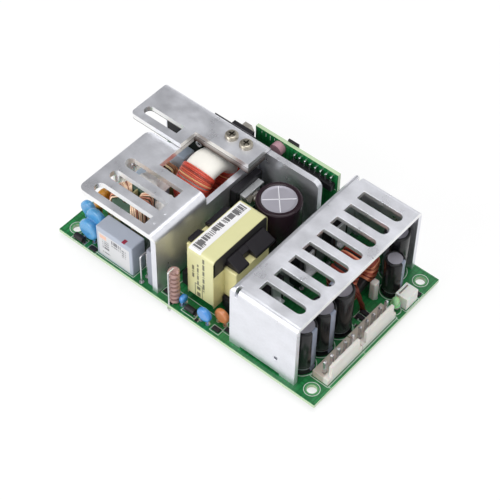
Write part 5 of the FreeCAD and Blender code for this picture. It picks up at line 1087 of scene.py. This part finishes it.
def roundedRing(label, name, finish, corner, sides=72):
    # a ring with a full, cushion-like section, turned about X
    low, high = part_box(label)
    middle = (low + high) / 2
    outer, inner, width = (v * mm for v in windings[label.replace("_core", "")]["ring"])
    deep = (outer - inner) / 2
    section = []
    for quarter, (sx, sy) in enumerate(((1, 1), (-1, 1), (-1, -1), (1, -1))):
        for step in range(7):
            bend = math.pi / 2 * (quarter + step / 6)
            section.append((width * (sx * (0.5 - corner) + corner * math.cos(bend)),
                            deep * (sy * (0.5 - corner) + corner * math.sin(bend))))
    shape = bmesh.new()
    loops = []
    reach = outer / 2 - deep / 2
    for side in range(sides):
        turn = 2 * math.pi * side / sides
        loops.append([shape.verts.new((middle.x + x, middle.y + (reach + r) * math.cos(turn),
                                       middle.z + (reach + r) * math.sin(turn))) for x, r in section])
    skinLoops(shape, loops, True)
    bmesh.ops.remove_doubles(shape, verts=shape.verts[:], dist=0.000001)
    finishPiece(name, meshFrom(shape, name), finish, [label], 60.0)


roundedRing("boost_choke_core", "boostChokeRing", "creamFerrite", 0.40)
for label, spec in windings.items():
    low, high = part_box(label + "_core")
    middle = (low + high) / 2
    outer, inner, width = spec["ring"]
    meshes = []
    wire = spec["wire"]
    for first, last in spec["arcs"]:
        span = math.radians(last - first)
        count = max(3, int(span * (inner / 2 - windingGap - wire / 2) / (wire * 1.02)))
        for layer in range(2):
            shift = span / count * 0.5 * layer
            meshes.append(growMesh(ringTurns, {
                "Outer": outer * mm, "Inner": (inner + layer * wire * 0.5) * mm, "Width": width * mm,
                "Wire": wire * mm, "Lift": (windingGap - 0.02 + layer * wire * 0.08) * mm,
                "First": math.radians(first) + shift, "Last": math.radians(last) + shift * 0.2,
                "Turns": count, "Corner": spec["corner"], "Wander": math.radians(2.4),
                "Seed": spec["seed"] + layer, "Place": tuple(middle),
                "Tilt": (0.0, -math.pi / 2, 0.0) if spec["flat"] else (0.0, 0.0, 0.0),
                "Material": finishes[spec["finish"]]}))
    mesh = joinMeshes(meshes, label + "Turns")
    finishPiece(label.replace("_c", "C") + "Turns", mesh, spec["finish"],
                [label + "_winding"], 60.0)
print("chokes wound:", len(windings))


# bunched wires from the output choke down to the board

leadSpec = {"wire": 0.5, "strands": 9, "bunch": 1.15, "twist": 1.3,
            "route": ((46.4, 5.0, 15.5), (48.2, 5.4, 13.0), (49.5, 6.4, 8.0), (50.0, 7.4, 4.2),
                      (50.2, 8.0, 1.4))}


def chokeLeads():
    data = bpy.data.curves.new("chokeLeads", "CURVE")
    data.dimensions = "3D"
    data.bevel_depth = leadSpec["wire"] / 2 * mm
    data.bevel_resolution = 2
    data.resolution_u = 6
    data.use_fill_caps = True
    for number in range(leadSpec["strands"]):
        line = data.splines.new("NURBS")
        line.points.add(len(leadSpec["route"]) - 1)
        for index, (x, y, z) in enumerate(leadSpec["route"]):
            turn = number * 2 * math.pi / leadSpec["strands"] + index * leadSpec["twist"]
            reach = leadSpec["bunch"] * (0.45 if number % 3 == 0 else 1.0)
            line.points[index].co = ((x + reach * math.cos(turn)) * mm, (y + reach * math.sin(turn)) * mm,
                                     z * mm, 1.0)
        line.order_u = 4
        line.use_endpoint_u = True
    finishPiece("outputChokeLeads", bakedMesh(data), "outputWire", (), 60.0)


chokeLeads()
print("output choke leads laid")


# coil on the ferrite rod

def makeRodCoil():
    tree, start, end = startTree("rodCoil", [
        ("Radius", "NodeSocketFloat"), ("Height", "NodeSocketFloat"), ("Wire", "NodeSocketFloat"),
        ("Turns", "NodeSocketFloat"), ("Place", "NodeSocketVector"), ("Material", "NodeSocketMaterial")])
    put = start.outputs
    spiral = addNode(tree, "GeometryNodeCurveSpiral", {}, {
        "Resolution": 20, "Rotations": put["Turns"], "Start Radius": put["Radius"],
        "End Radius": put["Radius"], "Height": put["Height"]})
    tube = addNode(tree, "GeometryNodeCurveToMesh", {}, {
        "Curve": spiral.outputs[0], "Profile Curve": wireProfile(tree, put["Wire"], 10), "Fill Caps": True})
    rod = addNode(tree, "GeometryNodeMeshCylinder", {}, {
        "Vertices": 20, "Radius": doMath(tree, "MULTIPLY", put["Radius"], 0.9), "Depth": put["Height"]})
    half = addNode(tree, "ShaderNodeCombineXYZ", {}, {2: doMath(tree, "MULTIPLY", put["Height"], 0.5)})
    raised = moved(tree, rod.outputs[0], half.outputs[0])
    both = joined(tree, tube.outputs[0], raised)
    closeTree(tree, start, end, moved(tree, both, put["Place"]))
    return tree


rodSpec = {"wire": 1.7, "turns": 7.0}
low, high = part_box("rod_choke")
wireHalf = rodSpec["wire"] / 2 * mm
mesh = growMesh(makeRodCoil(), {
    "Radius": (high.x - low.x) / 2 - wireHalf * 0.9, "Height": high.z - low.z - 2 * wireHalf,
    "Wire": rodSpec["wire"] * mm, "Turns": rodSpec["turns"], "Material": finishes["rodWire"],
    "Place": ((low.x + high.x) / 2, (low.y + high.y) / 2, low.z + wireHalf)})
finishPiece("rodChokeCoil", mesh, "rodWire", ["rod_choke"], 60.0)
print("rod choke wound")


# square contacts with pointed tips

def makePinField():
    tree, start, end = startTree("pinField", [
        ("Size", "NodeSocketFloat"), ("Height", "NodeSocketFloat"), ("Tip", "NodeSocketFloat"),
        ("Material", "NodeSocketMaterial")])
    put = start.outputs
    size = addNode(tree, "ShaderNodeCombineXYZ", {}, {0: put["Size"], 1: put["Size"], 2: put["Height"]})
    shank = addNode(tree, "GeometryNodeMeshCube", {}, {"Size": size.outputs[0]})
    up = addNode(tree, "ShaderNodeCombineXYZ", {}, {2: doMath(tree, "MULTIPLY", put["Height"], 0.5)})
    body = moved(tree, shank.outputs[0], up.outputs[0])
    tip = addNode(tree, "GeometryNodeMeshCone", {}, {
        "Vertices": 4, "Radius Top": doMath(tree, "MULTIPLY", put["Size"], 0.36),
        "Radius Bottom": doMath(tree, "MULTIPLY", put["Size"], 0.7071), "Depth": put["Tip"]})
    over = addNode(tree, "ShaderNodeCombineXYZ", {}, {2: put["Height"]})
    crown = moved(tree, tip.outputs[0], over.outputs[0], (0.0, 0.0, math.pi / 4))
    closeTree(tree, start, end, onPoints(tree, start, joined(tree, body, crown)))
    return tree


def islandsOf(label):
    # the separate solids of a part, as boxes
    shape = weldedShape(label)
    shape.verts.ensure_lookup_table()
    seen = set()
    boxes = []
    for seed in shape.verts:
        if seed.index in seen:
            continue
        stack = [seed]
        seen.add(seed.index)
        found = []
        while stack:
            here = stack.pop()
            found.append(here.co.copy())
            for edge in here.link_edges:
                other = edge.other_vert(here)
                if other.index not in seen:
                    seen.add(other.index)
                    stack.append(other)
        boxes.append((Vector([min(p[a] for p in found) for a in range(3)]),
                      Vector([max(p[a] for p in found) for a in range(3)])))
    shape.free()
    return boxes


pinField = makePinField()
tipHeight = 0.5 * mm
meshes = []
for low, high in islandsOf("connector_pins"):
    spot = ((low.x + high.x) / 2, (low.y + high.y) / 2, low.z)
    meshes.append(growMesh(pinField, {"Size": high.x - low.x, "Height": high.z - low.z - tipHeight,
                                      "Tip": tipHeight, "Material": finishes["tinnedWire"]}, [spot]))
mesh = joinMeshes(meshes, "contactPins")
finishPiece("contactPins", mesh, "tinnedWire", ["connector_pins"], 20.0)
softened("control_pins", "controlPins", "tinnedWire", 0.08)


# the small header is nearly solid, open only along its inner side
low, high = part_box("aux_connector")
wall, gap = 0.9 * mm, 0.5 * mm
blockPiece("auxTongue", [((low.x + wall + gap, low.y + 0.5 * mm, low.z + 0.8 * mm),
                          (high.x - 0.3 * mm, high.y - 0.5 * mm, high.z - 0.1 * mm))],
           "whiteMoulding", 0.3)


# round pads where leads pass through the board

def makePadField():
    tree, start, end = startTree("padField", [
        ("Radius", "NodeSocketFloat"), ("Thickness", "NodeSocketFloat"), ("Material", "NodeSocketMaterial")])
    put = start.outputs
    disc = addNode(tree, "GeometryNodeMeshCylinder", {}, {
        "Vertices": 18, "Radius": put["Radius"], "Depth": put["Thickness"]})
    closeTree(tree, start, end, onPoints(tree, start, disc.outputs[0]))
    return tree


padSpec = {"radius": 1.2, "overRadius": 1.0, "thickness": 0.06}
# a joint that runs over the board's edge gets no round pad
joints = [((low.x + high.x) / 2, (low.y + high.y) / 2) for low, high in islandsOf("solder_joints")]
joints = [(x, y) for x, y in joints
          if min(x - boardLow.x, boardHigh.x - x, y - boardLow.y, boardHigh.y - y) > padSpec["radius"] * mm]
padField = makePadField()
sides = []
lift = padSpec["thickness"] / 2 * mm
for radius, level in (("radius", -lift), ("overRadius", boardTop + lift)):
    sides.append(growMesh(padField, {
        "Radius": padSpec[radius] * mm, "Thickness": padSpec["thickness"] * mm,
        "Material": finishes["solderBright"]}, [(x, y, level) for x, y in joints]))
finishPiece("solderPads", joinMeshes(sides, "solderPads"), "solderBright", (), 30.0)
print("contacts and pads set:", len(joints))


# shrunk sleeves, turned from a profile with a map round the can

def turnedSleeve(low, high, lip, angleShift, sides):
    centre = (low + high) / 2
    radius, bottom, top = (high.x - low.x) / 2, low.z, high.z
    wall, tall = 0.32 * mm, top - bottom
    profile = [(radius - wall, bottom + 0.02 * mm), (radius - 0.04 * mm, bottom + 0.02 * mm),
               (radius, bottom + 0.5 * mm)]
    for step, depth in ((1.6, 0.0), (2.1, 0.35), (2.6, 0.5), (3.1, 0.35), (3.6, 0.0)):
        profile.append((radius - depth * mm * 0.8, bottom + step * mm))
    profile.append((radius, top - 0.9 * mm))
    for step in range(1, 6):
        bend = math.pi / 2 * step / 5
        profile.append((radius - 0.8 * mm * (1 - math.cos(bend)),
                        top - 0.9 * mm + 0.85 * mm * math.sin(bend)))
    profile.append((radius - lip + 0.3 * mm, top - 0.02 * mm))
    profile.append((radius - lip, top - 0.25 * mm))
    profile.append((radius - lip, top - wall - 0.05 * mm))
    shape = bmesh.new()
    rings = []
    for side in range(sides + 1):
        turn = 2 * math.pi * side / sides
        # the sleeve hugs the can unevenly near its lip
        ringVerts = []
        for r, z in profile:
            ripple = 0.05 * mm * math.sin(turn * 9 + z * 900) if z > top - 1.2 * mm else 0.0
            reach = min(r + ripple * 0.5, radius)
            ringVerts.append(shape.verts.new((centre.x + reach * math.cos(turn),
                                              centre.y + reach * math.sin(turn), z)))
        rings.append(ringVerts)
    layer = shape.loops.layers.uv.new("round")
    for side in range(sides):
        for level in range(len(profile) - 1):
            one, two = rings[side], rings[side + 1]
            face = shape.faces.new((one[level], two[level], two[level + 1], one[level + 1]))
            us = (side, side + 1, side + 1, side)
            vs = (level, level, level + 1, level + 1)
            for loop, u, v in zip(face.loops, us, vs):
                loop[layer].uv = (u / sides + angleShift, (profile[v][1] - bottom) / tall)
    bmesh.ops.remove_doubles(shape, verts=shape.verts[:], dist=0.000001)
    return meshFrom(shape, "sleeve", False)


# how far each output can is turned, from the front one back
sleeveTurns = (0.0, 0.01, 0.5, -0.01, 0.3)
bulk = turnedSleeve(*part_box("bulk_sleeve"), 2.1 * mm, 0.0, 56)
finishPiece("bulkSleeve", bulk, "purpleSleeve", ["bulk_sleeve"], 50.0)
sleeves = []
for number, (low, high) in enumerate(sorted(islandsOf("output_sleeves"), key=lambda b: b[0].y)):
    sleeves.append(turnedSleeve(low, high, 1.1 * mm, sleeveTurns[number], 40))
mesh = joinMeshes(sleeves, "outputSleeves")
finishPiece("outputSleeves", mesh, "greySleeve", ["output_sleeves"], 50.0)
print("sleeves shrunk:", 1 + len(sleeves))


# the bulk can is drawn again as a plain can, with a raised cross of bright metal for its vent

canSpec = {"sides": 64, "rim": 0.5, "dish": 0.15, "rings": (3.0, 2.6, 2.2)}
ventSpec = {"reach": 6.5, "half": 0.16, "turn": 43.0, "below": 0.35, "above": 0.06}


def turnedCan(low, high):
    middle = (low + high) / 2
    radius = (high.x - low.x) / 2
    rim = canSpec["rim"] * mm
    dish = high.z - canSpec["dish"] * mm
    inner, outer, bead = (radius - r * mm for r in canSpec["rings"])
    profile = [(inner, dish), (outer, dish), (bead, high.z), (radius - rim, high.z),
               (radius - 0.3 * rim, high.z - 0.3 * rim), (radius, high.z - rim), (radius, low.z + rim),
               (radius - rim, low.z)]
    shape = bmesh.new()
    rings = [[shape.verts.new((x, y, z)) for x, y in circlePoints(middle.x, middle.y, r, canSpec["sides"])]
             for r, z in profile]
    for upper, lower in zip(rings, rings[1:]):
        for side in range(canSpec["sides"]):
            after = (side + 1) % canSpec["sides"]
            shape.faces.new((upper[side], lower[side], lower[after], upper[after]))
    shape.faces.new(rings[0])
    shape.faces.new(rings[-1])
    return meshFrom(shape, "bulkCan")


def ventCross(low, high):
    middle = (low + high) / 2
    reach, half = ventSpec["reach"] * mm, ventSpec["half"] * mm
    shape = bmesh.new()
    for turn in (ventSpec["turn"], ventSpec["turn"] + 90.0):
        spin = Matrix.Rotation(math.radians(turn), 4, "Z")
        count = len(shape.verts)
        addBlock(shape, (-reach, -half, high.z - ventSpec["below"] * mm),
                 (reach, half, high.z + ventSpec["above"] * mm))
        shape.verts.ensure_lookup_table()
        for corner in shape.verts[count:]:
            corner.co = spin @ corner.co + Vector((middle.x, middle.y, 0.0))
    return meshFrom(shape, "ventCross")


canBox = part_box("bulk_capacitor")
finishPiece("bulkCan", turnedCan(*canBox), "canAluminium", ["bulk_capacitor"], 30.0)
finishPiece("ventCross", ventCross(*canBox), "ventMetal")
print("bulk can turned")


# white print on the boards: rings and outlines only

printSpec = {"thickness": 0.035, "line": 0.22, "margin": 0.5, "canMargin": 0.9, "chipMargin": 0.55,
             "chipLine": 0.16, "lampRing": 2.5, "holes": (58.42, 33.02), "ringRadius": 3.0, "padMiddle": 2.25,
             "padWide": 0.55, "padThick": 0.03}


def addStrip(shape, points, width, low, high, closed):
    # a flat line through points on the board
    count = len(points)
    left, right = [], []
    for number, point in enumerate(points):
        before = points[(number - 1) % count] if closed or number else point
        after = points[(number + 1) % count] if closed or number < count - 1 else point
        way = Vector((after[0] - before[0], after[1] - before[1]))
        way.normalize()
        side = Vector((-way.y, way.x)) * width / 2
        left.append((point[0] + side.x, point[1] + side.y))
        right.append((point[0] - side.x, point[1] - side.y))
    span = count if closed else count - 1
    for number in range(span):
        other = (number + 1) % count
        corners = (left[number], right[number], right[other], left[other])
        base = [shape.verts.new((*p, low)) for p in corners]
        lid = [shape.verts.new((*p, high)) for p in corners]
        shape.faces.new(lid)
        shape.faces.new(base[::-1])
        skinLoops(shape, [base, lid])


def boxLines(shape, low, high, grow, base, top, width):
    x0, y0, x1, y1 = low.x - grow, low.y - grow, high.x + grow, high.y + grow
    for a, b in (((x0, y0), (x1, y0)), ((x1, y0), (x1, y1)), ((x1, y1), (x0, y1)), ((x0, y1), (x0, y0))):
        addStrip(shape, [a, b], width, base, top, False)


across, along = (v * mm for v in printSpec["holes"])
holes = [(sx * across, sy * along) for sx in (-1, 1) for sy in (-1, 1)]
shape = bmesh.new()
base, top = boardTop, boardTop + printSpec["thickness"] * mm
line = printSpec["line"] * mm
for x, y in holes:
    addStrip(shape, circlePoints(x, y, printSpec["ringRadius"] * mm), line, base, top, True)
outlined = [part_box(label) for label in ("transformer_bobbin", "output_connectors", "aux_connector",
                                        "inlet_connector")]
for low, high in outlined + islandsOf("line_capacitors") + islandsOf("axial_diodes"):
    boxLines(shape, low, high, printSpec["margin"] * mm, base, top, line)
for low, high in islandsOf("bulk_capacitor") + islandsOf("output_capacitors"):
    reach = (high.x - low.x) / 2 + printSpec["canMargin"] * mm
    addStrip(shape, circlePoints((low.x + high.x) / 2, (low.y + high.y) / 2, reach), line, base, top, True)
for low, high in islandsOf("surface_parts"):
    boxLines(shape, low, high, printSpec["chipMargin"] * mm, base, top, printSpec["chipLine"] * mm)
low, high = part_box("status_lamp")
addStrip(shape, circlePoints((low.x + high.x) / 2, (low.y + high.y) / 2, printSpec["lampRing"] * mm, 28),
         line, base, top, True)
low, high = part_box("output_connectors")
for share in (0.0, 0.5, 1.0):
    y = low.y + (high.y - low.y) * share
    addStrip(shape, [(high.x + 0.2 * mm, y), (boardHigh.x - 0.1 * mm, y)], line, base, top, False)
finishPiece("boardPrint", meshFrom(shape, "boardPrint", False), "silkWhite")

shape = bmesh.new()
wide, thick = printSpec["padWide"] * mm, printSpec["padThick"] * mm
for x, y in holes:
    ring = circlePoints(x, y, printSpec["padMiddle"] * mm)
    addStrip(shape, ring, wide, base, base + thick, True)
    addStrip(shape, ring, wide, -thick, 0.0, True)
finishPiece("holePads", meshFrom(shape, "holePads", False), "padGreen")

tickSpec = {"count": 6, "first": 3.0, "step": 2.1, "wide": 0.25, "top": 0.9, "thick": 0.04}
low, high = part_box("control_board")
face, front = low.y, low.y - tickSpec["thick"] * mm
lines = []
for number in range(tickSpec["count"]):
    x = low.x + (tickSpec["first"] + tickSpec["step"] * number) * mm
    lines.append(((x, front, high.z - (2.0 + 0.7 * (number % 3)) * mm),
                  (x + tickSpec["wide"] * mm, face, high.z - tickSpec["top"] * mm)))
stripLow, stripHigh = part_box("control_header")
lines.append(((stripLow.x - 0.6 * mm, front, stripLow.z - 0.6 * mm),
              (stripHigh.x + 0.6 * mm, face, stripLow.z - 0.4 * mm)))
blockPiece("controlPrint", lines, "silkWhite")
print("boards printed")


# tiny chips soldered flat, body and two bright ends

def makeChipField():
    tree, start, end = startTree("chipField", [
        ("Length", "NodeSocketFloat"), ("Width", "NodeSocketFloat"), ("Height", "NodeSocketFloat"),
        ("End", "NodeSocketFloat"), ("Material", "NodeSocketMaterial")])
    put = start.outputs
    along = doMath(tree, "MULTIPLY", put["Length"], put["End"])
    size = addNode(tree, "ShaderNodeCombineXYZ", {}, {0: along, 1: put["Width"], 2: put["Height"]})
    shell = addNode(tree, "GeometryNodeMeshCube", {}, {"Size": size.outputs[0]})
    closeTree(tree, start, end, onPoints(tree, start, shell.outputs[0]))
    return tree


chipField = makeChipField()
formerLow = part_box("transformer_bobbin")[0]
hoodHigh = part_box("output_heatsink")[1]
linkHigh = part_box("output_connectors")[1]
chipLength = 2.0 * mm
chipSpots = [(formerLow.x + 3.4 * mm, boardLow.y + 1.4 * mm),
             (formerLow.x + 16.0 * mm, boardLow.y + 1.3 * mm),
             (hoodHigh.x + 0.9 * mm, linkHigh.y - 16.0 * mm), (hoodHigh.x + 0.9 * mm, linkHigh.y - 12.6 * mm),
             (hoodHigh.x - 1.5 * mm, linkHigh.y - 9.6 * mm), (linkHigh.x - 2.4 * mm, linkHigh.y + 9.6 * mm),
             (boardLow.x + 4.0 * mm, boardLow.y + 16.0 * mm), (boardLow.x + 7.0 * mm, boardLow.y + 12.5 * mm)]
for name, share, wide, tall, finish, slot in (
        ("chipBodies", 0.66, 1.15, 0.5, "blackMoulding", "black_moulding"),
        ("chipEnds", 1.0, 1.1, 0.45, "solderBright", "solder")):
    mesh = growMesh(chipField, {"Length": chipLength, "Width": wide * mm, "Height": tall * mm, "End": share,
                                "Material": finishes[finish]},
                    [(x, y, boardTop + tall / 2 * mm) for x, y in chipSpots])
    finishPiece(name, mesh, finish, (), 20.0)
print("tiny chips placed:", len(chipSpots))


# silicone run on to the top of the middle film capacitor

smearSpec = {"left": 4.2, "right": 2.4, "front": 2.6, "back": 0.8, "crown": 6.8, "sunk": 0.15, "steps": 26}


def siliconeSmear():
    spec = smearSpec
    low, high = sorted(islandsOf("line_capacitors"), key=lambda b: b[0].y)[1]
    x0, x1 = low.x + spec["left"] * mm, high.x + spec["right"] * mm
    y0, y1 = low.y - spec["front"] * mm, high.y + spec["back"] * mm
    level = high.z
    steps = spec["steps"]
    shape = bmesh.new()
    grid = []
    for i in range(steps + 1):
        row = []
        for j in range(steps + 1):
            u, v = i / steps, j / steps
            x, y = x0 + (x1 - x0) * u, y0 + (y1 - y0) * v
            edge = min(u, 1 - u, v, 1 - v)
            wave = 0.5 + 0.5 * noise.noise(Vector((x, y, 0.0)) * 260.0)
            crown = min(1.0, edge * (4.5 + 4.0 * wave)) ** 0.6
            rise = (0.04 + spec["crown"] * crown * (0.5 + 0.5 * wave)) * mm
            row.append(shape.verts.new((x, y, level + rise)))
        grid.append(row)
    for i in range(steps):
        for j in range(steps):
            shape.faces.new((grid[i][j], grid[i + 1][j], grid[i + 1][j + 1], grid[i][j + 1]))
    skirt = bmesh.ops.extrude_edge_only(shape, edges=[e for e in shape.edges if e.is_boundary])
    for item in skirt["geom"]:
        if isinstance(item, bmesh.types.BMVert):
            item.co.z = level - spec["sunk"] * mm
    bmesh.ops.holes_fill(shape, edges=[e for e in shape.edges if e.is_boundary])
    finishPiece("siliconeSmear", meshFrom(shape, "siliconeSmear"), "silicone", (), 180.0)


siliconeSmear()
print("silicone set")


# floor, light and camera

def makeSheet(name, half, level):
    # a square sheet of the room with a finish of its own
    mesh = bpy.data.meshes.new(name)
    corners = [(-half, -half, level), (half, -half, level), (half, half, level), (-half, half, level)]
    mesh.from_pydata(corners, [], [(0, 1, 2, 3)])
    sheet = bpy.data.objects.new(name, mesh)
    bpy.context.scene.collection.objects.link(sheet)
    material = bpy.data.materials.new(name + "Finish")
    material.use_nodes = True
    mesh.materials.append(material)
    return sheet, material.node_tree


def makeFloor():
    floor, tree = makeSheet("floor", roomSetup["floorSize"] / 2, cadBox[0][2] - roomSetup["floorGap"])
    shader = tree.nodes["Principled BSDF"]
    shader.inputs["Base Color"].default_value = (*roomSetup["floorTint"], 1.0)
    shader.inputs["Roughness"].default_value = 0.9
    glow = addNode(tree, "ShaderNodeEmission", {}, {"Color": (1.0, 1.0, 1.0, 1.0),
                                                    "Strength": roomSetup["backdropGlow"]})
    share = doMath(tree, "MULTIPLY", seenRays(tree), roomSetup["backdropShare"])
    blend = addNode(tree, "ShaderNodeMixShader", {}, {0: share, 1: shader.outputs[0], 2: glow.outputs[0]})
    tree.links.new(blend.outputs[0], tree.nodes["Material Output"].inputs["Surface"])


def seenRays(tree):
    path = addNode(tree, "ShaderNodeLightPath")
    seen = doMath(tree, "MAXIMUM", path.outputs["Is Camera Ray"], path.outputs["Is Glossy Ray"])
    return doMath(tree, "MAXIMUM", seen, path.outputs["Is Transmission Ray"])


def makeWorld():
    world = bpy.data.worlds.new("studio")
    bpy.context.scene.world = world
    world.use_nodes = True
    tree = world.node_tree
    light = tree.nodes["Background"]
    light.inputs["Color"].default_value = (1.0, 1.0, 1.0, 1.0)
    light.inputs["Strength"].default_value = roomSetup["skyLight"]
    shown = addNode(tree, "ShaderNodeBackground", {}, {"Color": (1.0, 1.0, 1.0, 1.0), "Strength": 1.0})
    blend = addNode(tree, "ShaderNodeMixShader", {}, {
        0: seenRays(tree), 1: light.outputs[0], 2: shown.outputs[0]})
    tree.links.new(blend.outputs[0], tree.nodes["World Output"].inputs["Surface"])


def addLamp(name, place, size, power):
    lamp = bpy.data.lights.new(name, "AREA")
    lamp.shape = "DISK"
    lamp.size = size
    lamp.energy = power
    holder = bpy.data.objects.new(name, lamp)
    holder.location = place
    away = Vector(roomSetup["lampTarget"]) - Vector(place)
    holder.rotation_euler = away.to_track_quat("-Z", "Y").to_euler()
    bpy.context.scene.collection.objects.link(holder)


def makeCard():
    # a grey card overhead that only shows in the metal, as in a studio
    card, tree = makeSheet("greyCard", roomSetup["cardSize"] / 2, 0.0)
    place = Vector(roomSetup["cardPlace"])
    card.location = place
    card.rotation_euler = (-place).to_track_quat("-Z", "Y").to_euler()
    for ray in ("visible_camera", "visible_diffuse", "visible_transmission", "visible_shadow"):
        setattr(card, ray, False)
    level = roomSetup["cardLevel"]
    glow = addNode(tree, "ShaderNodeEmission", {}, {
        "Color": (level, level, level * 1.02, 1.0), "Strength": 1.0})
    tree.links.new(glow.outputs[0], tree.nodes["Material Output"].inputs["Surface"])


def makeCamera():
    s = cameraSetup
    a, e, roll = (math.radians(s[key]) for key in ("azimuth", "elevation", "roll"))
    back = Vector((math.sin(a) * math.cos(e), -math.cos(a) * math.cos(e), math.sin(e)))
    right = Vector((math.cos(a), math.sin(a), 0.0))
    up = back.cross(right)
    target = Vector((0.0, 0.0, s["targetHeight"] * mm))
    place = (back * s["distance"] + right * s["right"] + up * s["up"]) * mm + target
    across = right * math.cos(roll) + up * math.sin(roll)
    above = up * math.cos(roll) - right * math.sin(roll)
    turn = Matrix((across, above, back)).transposed()
    data = bpy.data.cameras.new("camera")
    data.sensor_width = 36.0
    data.lens = s["lens"]
    data.clip_start = 0.01
    holder = bpy.data.objects.new("camera", data)
    holder.matrix_world = Matrix.Translation(place) @ turn.to_4x4()
    bpy.context.scene.collection.objects.link(holder)
    bpy.context.scene.camera = holder


makeFloor()
makeWorld()
makeCard()
for name, (place, size) in lampSetup.items():
    addLamp(name + "Lamp", place, size, roomSetup[name + "Power"])
makeCamera()
bpy.context.scene.view_settings.view_transform = "Standard"
print("room and camera set")
